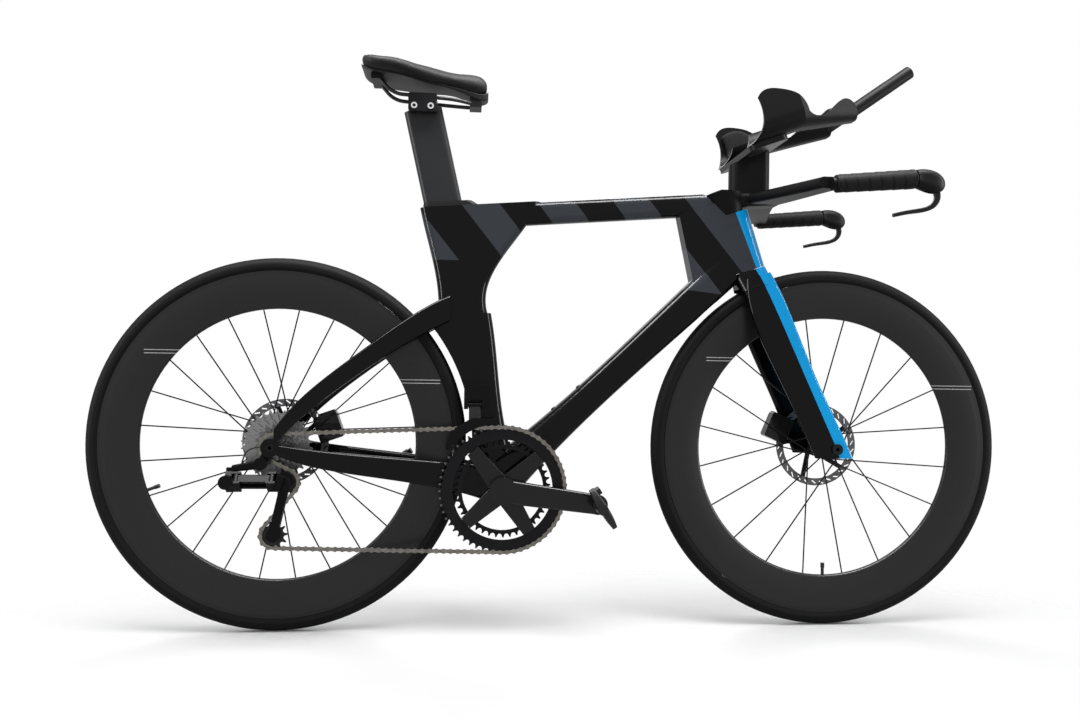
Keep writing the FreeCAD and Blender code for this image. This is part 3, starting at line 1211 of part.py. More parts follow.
def make_extensions():
    base = d.bracket_thickness + d.seat_on_bracket
    outer, outer_front = trough(0, base)
    cavity, cavity_front = trough(d.cup_wall, base + d.cup_wall)
    end_top, end_foot, start = WRIST_HUMP[-1], (219, -8), ELBOW_EDGE[0]
    outline = side_block([side_curve(ELBOW_EDGE), side_curve(ELBOW_CROWN), side_curve(WRIST_HUMP),
                          side_line(end_top, end_foot), side_line(end_foot, start)])
    end_wall = side_block([side_line((212, 90), (240, 90)), side_line((240, 90), (240, -40)),
                           side_line((240, -40), (212, -40)), side_line((212, -40), (212, 90))])
    shell = outer.fuse(outer_front).cut(cavity.fuse(cavity_front.cut(end_wall))).common(outline)
    shell = shell.cut(above_inner_wall(base + d.inner_wall))
    grip_foot = bracket_foot + Vector(d.extension_grip_ahead, d.extension_tip_side + 2, d.extension_grip_rise)
    tip = bracket_foot + Vector(d.extension_tip_ahead, d.extension_tip_side, d.extension_tip_rise)
    reach = (tip - grip_foot).normalize()
    grip = rod(grip_foot - reach * 6, tip, d.extension_grip_radius)
    socket = rod(tip - reach * d.button_depth, tip + reach * 20, d.button_radius + d.button_gap)
    arm = max(shell.fuse(grip).cut(socket).Solids, key=lambda item: item.Volume).removeSplitter()
    piece("extensions", both_sides(arm))
    gap = d.cup_wall + d.pad_gap
    lining = trough(gap, base + gap)[0].cut(trough(gap + d.pad_thickness, base + gap + d.pad_thickness)[0])
    rear, crown = ELBOW_EDGE[1:], ELBOW_CROWN
    inset = d.pad_inset
    low_rear, low_front = (rear[0][0] + inset, base), (crown[-2][0] - inset, base)
    rear_line = [low_rear] + [(along + inset, height - inset) for along, height in rear[1:]]
    crown_line = [rear_line[-1]] + [(along, height - inset) for along, height in crown[2:-1]]
    crown_line[-1] = (crown_line[-1][0] - inset, crown_line[-1][1])
    cushion = lining.common(side_block([side_curve(rear_line), side_curve(crown_line),
                                        side_line(crown_line[-1], low_front),
                                        side_line(low_front, low_rear)]))
    cushion = cushion.cut(above_inner_wall(base + d.inner_wall - d.pad_inset))
    piece("arm_pads", both_sides(max(cushion.Solids, key=lambda item: item.Volume)))
    button = rod(tip - reach * (d.button_depth - 2), tip + reach * d.button_proud, d.button_radius)
    piece("shift_button_left", button)
    piece("shift_button_right", mirrored(button))


# Brakes

def in_wheel(at, angle, side):
    return Placement(at + EY * side, Rotation(polar(1, angle), EY, polar(1, angle).cross(EY), "XYZ"))


def caliper(at, angle, side, rest):
    """Two-piston body that straddles the rotor and sits on the frame or fork leg."""
    inner = d.rotor_radius - d.rotor_track - 4
    body = Part.makeBox(d.caliper_height, d.caliper_width, d.caliper_length,
                        Vector(inner, -d.caliper_width / 2, -d.caliper_length / 2))
    body = body.makeFillet(5, cross_edges(body))
    foot = Part.makeBox(d.caliper_height * 0.7, d.caliper_width * 0.62, d.caliper_length,
                        Vector(inner + d.caliper_height * 0.2, 4,
                               -d.caliper_length / 2 + (4 if at.x == 0 else -2)))
    slot = Part.makeBox(d.rotor_track + 12, d.caliper_slot, d.caliper_length * 2,
                        Vector(inner - 5, -d.caliper_slot / 2, -d.caliper_length))
    shape = body.fuse(foot).cut(slot)
    shape.Placement = in_wheel(at, angle, side)
    return max(shape.cut(rest).Solids, key=lambda item: item.Volume)


def brake_pad(at, angle, side, flip):
    inner = d.rotor_radius - d.rotor_track
    near = d.rotor_thickness / 2 + d.pad_clear
    start = near if flip > 0 else -near - d.pad_plate
    pad = Part.makeBox(d.brake_pad_height, d.pad_plate, d.brake_pad_length,
                       Vector(inner, start, -d.brake_pad_length / 2))
    pad.Placement = in_wheel(at, angle, side)
    return pad


def make_brakes(fork, stays):
    front_angle, rear_angle = math.radians(157), math.radians(19)
    piece("front_caliper", caliper(front_axle_at, front_angle, d.front_rotor_side, fork))
    piece("rear_caliper", caliper(ORIGIN, rear_angle, d.rear_rotor_side, stays))
    for label, flip in (("left", 1), ("right", -1)):
        piece("front_brake_pad_" + label, brake_pad(front_axle_at, front_angle, d.front_rotor_side, flip))
        piece("rear_brake_pad_" + label, brake_pad(ORIGIN, rear_angle, d.rear_rotor_side, flip))


# Derailleurs

link_axis = Vector(0, 0.66, 0.751).normalize()
link_swing = EX.cross(link_axis) * -1
link_root = Vector(-54, -86, -d.link_height_below)
link_end = link_root + EX * d.link_length
hanger_eye = Vector(-d.hanger_back, 0, -d.hanger_down)


def along_links(shape, at):
    shape.Placement = Placement(at, Rotation(EX, link_swing, EX.cross(link_swing), "XYZ"))
    return shape


def clevis(at, ahead):
    """Two cheeks across the links with a pin through each link eye."""
    reach = d.link_depth / 2 + 0.4
    parts = []
    for level in (reach, -reach - 4):
        start = -8 if ahead else -7
        parts.append(along_links(Part.makeBox(15, 27, 4, Vector(start, -13.5, level)), at))
    for offset in (-8, 8):
        foot = at + link_swing * offset - link_axis * (reach + 2)
        parts.append(rod(foot, foot + link_axis * (2 * reach + 4), 2.5))
    return parts


def make_hanger(stays):
    start, end = -d.rear_hub_width / 2 - d.hanger_thickness, -d.rear_hub_width / 2
    middle = (start + end) / 2
    plate = cross_rod(0, 0, 13, start, end)
    plate = plate.multiFuse([cross_rod(hanger_eye.x, hanger_eye.z, 9, start, end),
                             bar_between(EY * middle, hanger_eye + EY * middle, 17, d.hanger_thickness, EY)])
    plate = plate.cut(cross_rod(0, 0, d.axle_radius + d.running_gap, start - 1, end + 1))
    piece("derailleur_hanger", plate.removeSplitter().cut(stays))


def make_rear_derailleur():
    hanger_face = -d.rear_hub_width / 2 - d.hanger_thickness - 0.1
    knuckle = cross_rod(hanger_eye.x, hanger_eye.z, 11, hanger_face - 15, hanger_face)
    arm = loft([rounded(Vector(hanger_eye.x + 4, hanger_face - 7, hanger_eye.z), EY, EZ, 12, 17, 4),
                rounded(Vector(link_root.x - 9, hanger_face - 4, -36), EY, EZ, 12, 12, 4)])
    reach = d.link_depth / 2 + 4.4
    housing = along_links(Part.makeBox(11, 29, 2 * reach, Vector(-18, -14.5, -reach)), link_root)
    eye = link_root - link_swing * 8
    cap = cross_rod(link_root.x - 14, link_root.z + 1, 12, hanger_face - 31, hanger_face - 20)
    cap = cap.cut(rod(eye - link_axis * 7.9, eye + link_axis * 7.9, 5.4))
    web = Part.makeBox(11, 10, 16, Vector(link_root.x - 18, hanger_face - 9, -50))
    parts = clevis(link_root, False) + [arm, web, housing, cap]
    extra = [along_links(Part.makeBox(12, 27, 4, Vector(-12, -13.5, level)), link_root)
             for level in (d.link_depth / 2 + 0.4, -d.link_depth / 2 - 4.4)]
    base = knuckle.multiFuse(parts + extra)
    base = base.removeSplitter()
    piece("rear_derailleur_base", base)
    for label, offset in (("derailleur_outer_link", -8), ("derailleur_inner_link", 8)):
        start, end = link_root + link_swing * offset, link_end + link_swing * offset
        bar = along_links(Part.makeBox(d.link_length, d.link_thickness, d.link_depth,
                                       Vector(0, -d.link_thickness / 2, -d.link_depth / 2)), start)
        half = link_axis * (d.link_depth / 2)
        eyes = [rod(spot - half, spot + half, 5) for spot in (start, end)]
        link = bar.multiFuse(eyes)
        for spot in (start, end):
            link = link.cut(rod(spot - link_axis * 20, spot + link_axis * 20, 2.5 + d.running_gap))
        piece(label, link.removeSplitter())
    make_derailleur_cage()
    make_derailleur_wire(base)


def make_derailleur_cage():
    room, plate = d.cage_room, d.cage_plate
    outer_face = rear_chain_side - room - plate
    pivot = cross_rod(guide_at.x, guide_at.z, d.knuckle_radius - 2, outer_face - 22, outer_face - d.side_gap)
    body = pivot.multiFuse(clevis(link_end, True))
    bridge_end = Vector(guide_at.x, link_end.y - 4, guide_at.z)
    bridge = bar_between(link_end + EX * 6 + EY * -4, bridge_end, 27, 16, EY)
    shaft_hole = cross_rod(guide_at.x, guide_at.z, 5 + d.running_gap, outer_face - 18, outer_face + 5)
    links = [rod(spot - link_axis * 7.9, spot + link_axis * 7.9, 5.4)
             for spot in (link_end + link_swing * 8, link_end - link_swing * 8)]
    bridge = bridge.cut(Part.makeCompound(links))
    body = body.fuse(bridge).cut(shaft_hole)
    piece("derailleur_knuckle", max(body.Solids, key=lambda item: item.Volume).removeSplitter())
    parts = []
    for near in (rear_chain_side - room - plate, rear_chain_side + room):
        middle = near + plate / 2
        level_guide, level_tension = guide_at + EY * middle, tension_at + EY * middle
        strap = bar_between(level_guide, level_tension, 16, plate, EY)
        ends = [cross_rod(guide_at.x, guide_at.z, 11, near, near + plate),
                cross_rod(tension_at.x, tension_at.z, 12, near, near + plate)]
        parts.append(strap.multiFuse(ends))
    for spot in (guide_at, tension_at):
        parts.append(cross_rod(spot.x, spot.z, 3, outer_face, rear_chain_side + room + plate))
    parts.append(cross_rod(guide_at.x, guide_at.z, 5, outer_face - 17, outer_face + plate))
    piece("derailleur_cage", parts[0].multiFuse(parts[1:]).removeSplitter())
    for label, spot, stop in (("guide_pulley", guide_at, 2), ("tension_pulley", tension_at, 3)):
        pulley = toothed_wheel(d.pulley_teeth, d.tooth_thickness, 3 + d.running_gap, chain_path.phase(stop))
        hub = cross_rod(0, 0, 7, -room + d.side_gap, room - d.side_gap)
        hub = hub.cut(cross_rod(0, 0, 3 + d.running_gap, -9, 9))
        pulley = pulley.fuse(hub).removeSplitter()
        pulley.translate(spot + EY * rear_chain_side)
        piece(label, pulley)


def make_derailleur_wire(base):
    """Short power lead that leaves the frame end, loops back and enters the derailleur base."""
    side = right_tab[0]
    points = [Vector(-16.2, side + 3, 2), Vector(-34, side + 2, 0), Vector(-44, side + 1, -14),
              Vector(-47, side + 1, -30)]
    piece("derailleur_wire", bent_rod(points, 1.4).cut(base))


fd_pivot = from_bb(-52, 152)
fd_side = -33


def make_front_derailleur(front_triangle):
    """Motor body on the seat tube with a pivot pin, and a swinging cage that straddles the chain."""
    pin_start, pin_end = fd_pivot.x - 20, fd_pivot.x + 20
    body = Part.makeBox(46, 22, 40, Vector(fd_pivot.x - 20, fd_side - 7, fd_pivot.z - 2))
    body = body.makeFillet(5, cross_edges(body))
    foot = Part.makeBox(34, 20, 26, Vector(fd_pivot.x - 8, fd_side + 3, fd_pivot.z + 8))
    gap = Part.makeBox(25, 30, 21, Vector(fd_pivot.x - 12.5, fd_side - 15, fd_pivot.z - 11))
    ears = [Part.makeBox(7.5, 13, 13, Vector(x, fd_side - 6.5, fd_pivot.z - 7))
            for x in (pin_start, pin_end - 7.5)]
    pin = rod(Vector(pin_start, fd_side, fd_pivot.z), Vector(pin_end, fd_side, fd_pivot.z), 3)
    body = body.multiFuse([foot] + ears).cut(gap).fuse(pin).cut(front_triangle)
    piece("front_derailleur_body", max(body.Solids, key=lambda item: item.Volume).removeSplitter())
    outline = [(-10, 129), (-56, 130), (-87, 112), (-105, 78), (-97, 73), (-76, 95), (-62, 105), (-46, 113),
               (-10, 122)]
    inner_face, outer_face = -d.big_ring_side + 5.3, -d.big_ring_side - 7.7
    parts = []
    for middle in (inner_face, outer_face):
        plate = prism(outline, 1.4)
        plate.translate(bottom_bracket + EY * middle)
        parts.append(plate)
    for x, z, long, tall in ((-58, 125, 46, 4), (-104, 72, 7, 5)):
        parts.append(Part.makeBox(long, inner_face - outer_face, tall, from_bb(x, z, outer_face)))
    swing_at = Vector(fd_pivot.x, fd_side, fd_pivot.z)
    parts.append(rod(swing_at - EX * 12, swing_at + EX * 12, 6))
    parts.append(loft([rounded(Vector(fd_pivot.x, fd_side, fd_pivot.z), EX, EY, 22, 8, 3),
                       rounded(from_bb(-52, 126, inner_face - 5), EX, EY, 22, 8, 3)]))
    cage = parts[0].multiFuse(parts[1:])
    hole = rod(swing_at - EX * 30, swing_at + EX * 30, 3 + d.running_gap)
    piece("front_derailleur_cage", max(cage.cut(hole).Solids, key=lambda item: item.Volume).removeSplitter())


make_wheels()
make_chain()
make_cassette()
make_chainrings()
make_cranks()
make_pedals()
frame_solid = make_front_triangle()
stay_solids = make_stays(frame_solid)
make_headset()
make_bottom_bracket()
make_axles()
make_hanger(stay_solids)
make_seat_post()
make_gasket()
rail_solids = make_saddle()
make_clamp(rail_solids)
fork_solid = make_fork()
make_base_bar()
make_bar_tape()
make_riser_and_bracket()
make_extensions()
piece("lever_housings", both_sides(lever_housing()))
piece("brake_lever_left", brake_lever())
piece("brake_lever_right", mirrored(brake_lever()))
make_brakes(fork_solid, stay_solids)
make_rear_derailleur()
make_front_derailleur(frame_solid)

doc.recompute()
for item in doc.Objects:
    if "Invalid" in item.State or "Error" in item.State:
        raise RuntimeError(item.Label + " did not compute")
for subpart in subparts:
    if subpart.Shape.isNull() or not subpart.Shape.isValid():
        raise RuntimeError(subpart.Label + " has no valid shape")
os.makedirs("parts", exist_ok=True)
for subpart in subparts:
    subpart.Shape.exportStep("parts/" + subpart.Label + ".step")
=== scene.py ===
import math
import bmesh
import bpy
from mathutils import Matrix, Vector


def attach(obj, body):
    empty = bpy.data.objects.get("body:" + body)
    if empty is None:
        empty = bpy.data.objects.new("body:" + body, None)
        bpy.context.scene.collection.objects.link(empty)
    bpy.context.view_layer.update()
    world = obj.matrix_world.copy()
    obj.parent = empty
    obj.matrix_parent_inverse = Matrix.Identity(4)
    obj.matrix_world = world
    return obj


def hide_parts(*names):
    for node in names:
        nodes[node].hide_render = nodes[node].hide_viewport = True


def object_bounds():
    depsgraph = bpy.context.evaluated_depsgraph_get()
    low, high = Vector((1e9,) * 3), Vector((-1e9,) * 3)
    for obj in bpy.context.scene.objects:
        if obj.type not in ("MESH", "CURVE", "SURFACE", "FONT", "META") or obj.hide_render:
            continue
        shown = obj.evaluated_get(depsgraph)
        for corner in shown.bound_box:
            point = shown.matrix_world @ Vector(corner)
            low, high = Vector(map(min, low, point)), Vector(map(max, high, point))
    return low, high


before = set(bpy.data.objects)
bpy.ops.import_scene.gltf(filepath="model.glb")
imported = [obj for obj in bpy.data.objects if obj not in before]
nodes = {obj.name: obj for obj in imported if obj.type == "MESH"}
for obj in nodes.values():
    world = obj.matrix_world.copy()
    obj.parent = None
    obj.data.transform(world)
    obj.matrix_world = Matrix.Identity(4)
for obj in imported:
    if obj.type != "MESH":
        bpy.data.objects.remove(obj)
cad_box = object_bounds()

# Main frame: moulded carbon in gloss black lacquer. A row of slate stripes leans back along the top tube,
# the head carries a wide slate field, and its leading edge is light blue. A thin white line along its very
# front is a painted highlight.


def material(name, colour, roughness, metallic=0.0, coat=0.0, specular=0.1, coat_roughness=0.04):
    made = bpy.data.materials.new(name)
    made.use_nodes = True
    shader = made.node_tree.nodes["Principled BSDF"]
    shader.inputs["Base Color"].default_value = (*colour, 1)
    shader.inputs["Roughness"].default_value = roughness
    shader.inputs["Metallic"].default_value = metallic
    shader.inputs["Specular IOR Level"].default_value = specular
    shader.inputs["Coat Weight"].default_value = coat
    shader.inputs["Coat Roughness"].default_value = coat_roughness
    return made, made.node_tree, shader


def math_node(tree, kind, first, second=0.0):
    node = tree.nodes.new("ShaderNodeMath")
    node.operation = kind
    for index, item in enumerate((first, second)):
        if isinstance(item, (int, float)):
            node.inputs[index].default_value = item
        else:
            tree.links.new(item, node.inputs[index])
    return node.outputs[0]


def along(tree, direction, offset=0.0):
    """Distance of a point on the piece along one direction, from its own coordinates."""
    place = tree.nodes.new("ShaderNodeTexCoord")
    dot = tree.nodes.new("ShaderNodeVectorMath")
    dot.operation = "DOT_PRODUCT"
    tree.links.new(place.outputs["Object"], dot.inputs[0])
    dot.inputs[1].default_value = direction
    return math_node(tree, "ADD", dot.outputs["Value"], offset)


def ramp(tree, value, start, stop, low=0.0, high=1.0):
    """Carries a value from one range to another and holds it at the ends."""
    scale = tree.nodes.new("ShaderNodeMapRange")
    tree.links.new(value, scale.inputs["Value"])
    for name, number in (("From Min", start), ("From Max", stop), ("To Min", low), ("To Max", high)):
        scale.inputs[name].default_value = number
    return scale.outputs["Result"]


def past(tree, distance, edge, blur=0.0004):
    """1 where the distance is past the edge and 0 before it."""
    return ramp(tree, distance, edge - blur, edge + blur)


def times(tree, *masks):
    result = masks[0]
    for mask in masks[1:]:
        result = math_node(tree, "MULTIPLY", result, mask)
    return result


def inverse(tree, mask):
    return math_node(tree, "SUBTRACT", 1.0, mask)


def between(tree, distance, begin, stop, blur=0.0004):
    """1 where the distance lies between two edges."""
    return times(tree, past(tree, distance, begin, blur), inverse(tree, past(tree, distance, stop, blur)))


def tint(tree, below, above, mask):
    """Lays one colour over another where the mask is 1; returns the colour socket."""
    mix = tree.nodes.new("ShaderNodeMix")
    mix.data_type = "RGBA"
    tree.links.new(mask, mix.inputs["Factor"])
    for socket, colour in ((mix.inputs["A"], below), (mix.inputs["B"], above)):
        if isinstance(colour, tuple):
            socket.default_value = (*colour, 1)
        else:
            tree.links.new(colour, socket)
    return mix.outputs["Result"]


def emboss(tree, shader, height, strength, distance):
    """Raises the surface by a texture's height, as a bump."""
    bump = tree.nodes.new("ShaderNodeBump")
    bump.inputs["Strength"].default_value = strength
    bump.inputs["Distance"].default_value = distance
    tree.links.new(height, bump.inputs["Height"])
    tree.links.new(bump.outputs["Normal"], shader.inputs["Normal"])


def grain(tree, shader, scale, strength, stretch=(1, 1, 1), distance=0.0002):
    """Fine surface unevenness as a bump."""
    place = tree.nodes.new("ShaderNodeTexCoord")
    mapping = tree.nodes.new("ShaderNodeMapping")
    mapping.inputs["Scale"].default_value = stretch
    noise = tree.nodes.new("ShaderNodeTexNoise")
    noise.inputs["Scale"].default_value = scale
    noise.inputs["Detail"].default_value = 3
    tree.links.new(place.outputs["Object"], mapping.inputs["Vector"])
    tree.links.new(mapping.outputs["Vector"], noise.inputs["Vector"])
    emboss(tree, shader, noise.outputs["Fac"], strength, distance)


def dress(made, *names):
    sharp_edge = math.radians(32)
    for name in names:
        piece = nodes[name]
        piece.data.materials.clear()
        piece.data.materials.append(made)
        piece.data.shade_smooth()
        piece.data.set_sharp_from_angle(angle=sharp_edge)


black = (0.0026, 0.0026, 0.0030)
slate = (0.044, 0.049, 0.058)
blue = (0.004, 0.400, 0.880)
highlight_white = (0.75, 0.76, 0.77)


def lacquered(name):
    return material(name, black, roughness=0.22, coat=0.16, specular=0.03)


steer_foot = Vector((0.983202, 0, -0.013906))
steer_up = Vector((-0.309017, 0, 0.951057))
steer_ahead = Vector((0.951057, 0, 0.309017))


def steering_offsets(tree):
    """How far a point lies ahead of the steering axis, and how high along it."""
    return (along(tree, tuple(steer_ahead), -steer_foot.dot(steer_ahead)),
            along(tree, tuple(steer_up), -steer_foot.dot(steer_up)))


stripe_lean = (1, 0, 0.8)
stripe_start, stripe_pitch, stripe_share = 0.6797, 0.1468, 0.495
first_stripe = 0.67
tube_rise, tube_underside = (0.11, 0, 1), 0.377
seat_band_begin, seat_band_stop, seat_band_foot = 0.521, 0.594, 0.341
head_field_edge = 1.118
blue_slope, blue_edge, nose_highlight_edge = -0.063, 0.0350, 0.0300

lacquer, tree, shader = lacquered("frame_lacquer")
lean = along(tree, stripe_lean)
stripe_count = math_node(tree, "DIVIDE", math_node(tree, "SUBTRACT", lean, stripe_start), stripe_pitch)
stripe = inverse(tree, past(tree, math_node(tree, "FRACT", stripe_count), stripe_share, blur=0.003))
on_tube = past(tree, along(tree, tube_rise), tube_underside)
stripe = times(tree, stripe, on_tube, past(tree, lean, first_stripe, blur=0.001))
seat_band = times(tree, between(tree, lean, seat_band_begin, seat_band_stop),
                  past(tree, along(tree, (0, 0, 1)), seat_band_foot))
stripe = math_node(tree, "MAXIMUM", stripe, seat_band)
nose, height = steering_offsets(tree)
blue_from = math_node(tree, "ADD", math_node(tree, "MULTIPLY", height, blue_slope), blue_edge)
colour = tint(tree, black, slate, stripe)
colour = tint(tree, colour, slate, past(tree, lean, head_field_edge))
colour = tint(tree, colour, blue, past(tree, math_node(tree, "SUBTRACT", nose, blue_from), 0.0))
# painted highlight: a thin white line along the very front of the head's nose
colour = tint(tree, colour, highlight_white, past(tree, nose, nose_highlight_edge))
tree.links.new(colour, shader.inputs["Base Color"])
grain(tree, shader, scale=90, strength=0.015)
dress(lacquer, "front_triangle")

# Stays: two carbon arms on each side from the wheel dropouts to the frame, in the same black lacquer.
# They are bonded to the frame and carry the flat brake mount on the left.

stay_lacquer, tree, shader = lacquered("stay_lacquer")
grain(tree, shader, scale=70, strength=0.015)
dress(stay_lacquer, "chain_stays", "seat_stays")

# Fork: carbon crown and blades on one steerer, black with the blue leading edge carried down from the head.
# A thin white line down the very front is a painted highlight.

crown_height = 0.366
fork_blue_foot, fork_blue_crown = 0.0450, 0.0095
fork_highlight_foot, fork_highlight_crown = 0.0672, 0.0335

fork_lacquer, tree, shader = lacquered("fork_lacquer")
nose, height = steering_offsets(tree)
blue_from = ramp(tree, height, 0.0, crown_height, fork_blue_foot, fork_blue_crown)
highlight_from = ramp(tree, height, 0.0, crown_height, fork_highlight_foot, fork_highlight_crown)
colour = tint(tree, black, blue, past(tree, math_node(tree, "SUBTRACT", nose, blue_from), 0.0))
# painted highlight: a thin white line down the fork's leading edge
colour = tint(tree, colour, highlight_white, past(tree, math_node(tree, "SUBTRACT", nose, highlight_from), 0.0))
tree.links.new(colour, shader.inputs["Base Color"])
grain(tree, shader, scale=70, strength=0.015)
dress(fork_lacquer, "fork")

# Wheels: clincher tyres in black rubber on deep satin carbon rims with fine double lines, black bladed
# spokes, black anodised hub shells and dark steel brake rotors on black carriers.


def flat_distance(tree, first, second):
    """Length of a flat offset from its two parts."""
    return math_node(tree, "SQRT", math_node(tree, "ADD", math_node(tree, "MULTIPLY", first, first),
                                             math_node(tree, "MULTIPLY", second, second)))


def distance_from(tree, centre):
    """Straight distance of a point on the piece from a centre."""
    place = tree.nodes.new("ShaderNodeTexCoord")
    away = tree.nodes.new("ShaderNodeVectorMath")
    away.operation = "DISTANCE"
    away.inputs[1].default_value = centre
    tree.links.new(place.outputs["Object"], away.inputs[0])
    return away.outputs["Value"]


def texture(tree, kind, scale):
    """A texture that lies in the piece's own coordinates."""
    laid = tree.nodes.new(kind)
    laid.inputs["Scale"].default_value = scale
    place = tree.nodes.new("ShaderNodeTexCoord")
    tree.links.new(place.outputs["Object"], laid.inputs["Vector"])
    return laid


def plain_finish(name, colour, *pieces, roughness, scale, strength, stretch=(1, 1, 1), **look):
    """One colour with a fine grain of that scale and strength, laid on the pieces that have this finish."""
    made, tree, shader = material(name, colour, roughness, **look)
    grain(tree, shader, scale, strength, stretch)
    dress(made, *pieces)


tyre_side, tyre_tread = (0.0062, 0.0062, 0.0066), (0.0038, 0.0038, 0.0041)
tyre_line = (0.018, 0.018, 0.0185)
tread_radius, line_inner, line_outer = 0.3335, 0.3215, 0.3222
rim_dark, rim_light = (0.0085, 0.0085, 0.0095), (0.0115, 0.0115, 0.0125)
rim_edge, rim_edge_radius = (0.007, 0.007, 0.0075), 0.3085
rim_line, rim_line_half = (0.5, 0.5, 0.5), 0.0007
rim_lines = ((0.1625, -0.237, -0.167), (0.1685, -0.237, -0.167),
             (0.1135, 0.215, 0.290), (0.1195, 0.215, 0.290))
hub_black = (0.012, 0.012, 0.013)
rotor_steel, rotor_carrier = (0.09, 0.09, 0.095), (0.010, 0.010, 0.0105)
rotor_track_radius, turned_rings = 0.066, 9000.0
rotor_smooth, rotor_rough = 0.24, 0.36

for label, axle, rotor_side in (("front", Vector((1.026, 0, 0)), 0.038), ("rear", Vector((0, 0, 0)), 0.056)):
    rubber, tree, shader = material(label + "_tyre_rubber", tyre_side, roughness=0.6, specular=0.05)
    radius = flat_distance(tree, along(tree, (1, 0, 0), -axle.x), along(tree, (0, 0, 1), -axle.z))
    colour = tint(tree, tyre_side, tyre_tread, past(tree, radius, tread_radius, blur=0.0006))
    colour = tint(tree, colour, tyre_line, between(tree, radius, line_inner, line_outer, blur=0.0003))
    tree.links.new(colour, shader.inputs["Base Color"])
    grain(tree, shader, scale=900, strength=0.35, distance=0.0003)
    dress(rubber, label + "_tyre")

    carbon, tree, shader = material(label + "_rim_carbon", rim_light, roughness=0.32, specular=0.22)
    across, up = along(tree, (1, 0, 0), -axle.x), along(tree, (0, 0, 1), -axle.z)
    weave = texture(tree, "ShaderNodeTexChecker", scale=320)
    weave.inputs["Color1"].default_value = (*rim_dark, 1)
    weave.inputs["Color2"].default_value = (*rim_light, 1)
    at_edge = past(tree, flat_distance(tree, across, up), rim_edge_radius)
    colour = tint(tree, weave.outputs["Color"], rim_edge, at_edge)
    for level, begin, stop in rim_lines:
        off_line = math_node(tree, "ABSOLUTE", math_node(tree, "SUBTRACT", up, level))
        on_line = inverse(tree, past(tree, off_line, rim_line_half, blur=0.0002))
        colour = tint(tree, colour, rim_line, times(tree, on_line, between(tree, across, begin, stop)))
    tree.links.new(colour, shader.inputs["Base Color"])
    grain(tree, shader, scale=60, strength=0.03)
    dress(carbon, label + "_rim")

    plain_finish(label + "_spoke_black", (0.010, 0.010, 0.0105), label + "_spokes",
                 roughness=0.4, scale=400, strength=0.05, metallic=0.3)

    anodised, tree, shader = material(label + "_hub_anodised", hub_black, roughness=0.34, metallic=0.6)
    turning = texture(tree, "ShaderNodeTexWave", scale=700)
    turning.bands_direction = "Y"
    emboss(tree, shader, turning.outputs["Fac"], strength=0.12, distance=0.0001)
    dress(anodised, label + "_hub")

    steel, tree, shader = material(label + "_rotor_steel", rotor_steel, roughness=0.3, metallic=1.0)
    reach = distance_from(tree, axle)
    carrier = inverse(tree, past(tree, reach, math.hypot(rotor_track_radius, rotor_side)))
    tree.links.new(tint(tree, rotor_steel, rotor_carrier, carrier), shader.inputs["Base Color"])
    rings = math_node(tree, "SINE", math_node(tree, "MULTIPLY", reach, turned_rings))
    tree.links.new(ramp(tree, rings, -1.0, 1.0, rotor_smooth, rotor_rough), shader.inputs["Roughness"])
    dress(steel, label + "_rotor")

# Axles, bearings and small fixings: turned alloy and steel, black anodised or black oxide,
# with a dark turning grain. The axles pass through the fork and the dropouts.

plain_finish("black_fixing", (0.014, 0.014, 0.015), "front_axle", "rear_axle", "derailleur_hanger",
             "bottom_bracket_cups", "headset_bearings",
             roughness=0.36, scale=500, strength=0.08, stretch=(1, 6, 1), metallic=0.6)

# Drive: plated steel chain with a slight bronze tint and an oily film, dark steel sprockets, black chainrings
# whose teeth are worn to grey, and gloss black crank arms fixed on one spindle.

chain_oily, chain_clean = (0.055, 0.052, 0.047), (0.24, 0.226, 0.203)
plated, tree, shader = material("chain_plate", chain_clean, roughness=0.3, metallic=1.0)
oil = texture(tree, "ShaderNodeTexNoise", scale=140)
shade = tree.nodes.new("ShaderNodeValToRGB")
for stop, colour in zip(shade.color_ramp.elements, (chain_oily, chain_clean)):
    stop.color = (*colour, 1)
tree.links.new(oil.outputs["Fac"], shade.inputs["Fac"])
tree.links.new(shade.outputs["Color"], shader.inputs["Base Color"])
dress(plated, "chain")

small_sprocket, large_sprocket = (0.10, 0.10, 0.102), (0.17, 0.17, 0.173)
large_sprockets_from = -0.0415
sprocket, tree, shader = material("sprocket_steel", large_sprocket, roughness=0.34, metallic=1.0)
inwards = past(tree, along(tree, (0, 1, 0)), large_sprockets_from)
tree.links.new(tint(tree, small_sprocket, large_sprocket, inwards), shader.inputs["Base Color"])
grain(tree, shader, scale=260, strength=0.12)
dress(sprocket, "cassette")

ring_face, ring_tooth = (0.009, 0.009, 0.010), (0.10, 0.10, 0.104)
ring_middle, tooth_root_radius = (0.406, -0.047, -0.077), 0.1125
ring_black, tree, shader = material("chainring_black", ring_face, roughness=0.32, metallic=0.4)
worn = past(tree, distance_from(tree, ring_middle), tooth_root_radius, blur=0.0006)
tree.links.new(tint(tree, ring_face, ring_tooth, worn), shader.inputs["Base Color"])
grain(tree, shader, scale=300, strength=0.06)
dress(ring_black, "chainrings")

plain_finish("crank_gloss", (0.006, 0.006, 0.007), "right_crank", "left_crank",
             roughness=0.22, scale=120, strength=0.02, coat=0.2)

# Pedals: moulded clipless platforms with a matt carbon-filled body on a steel spindle.
# The spring clasp at the back and the hook in front are part of the moulding.

plain_finish("pedal_moulding", (0.009, 0.009, 0.0095), "right_pedal", "left_pedal",
             roughness=0.42, scale=500, strength=0.2, specular=0.2)

# Derailleurs: forged and moulded black bodies with anodised links; the pulleys are dark resin.
# The rear one hangs from its own hanger on the dropout.

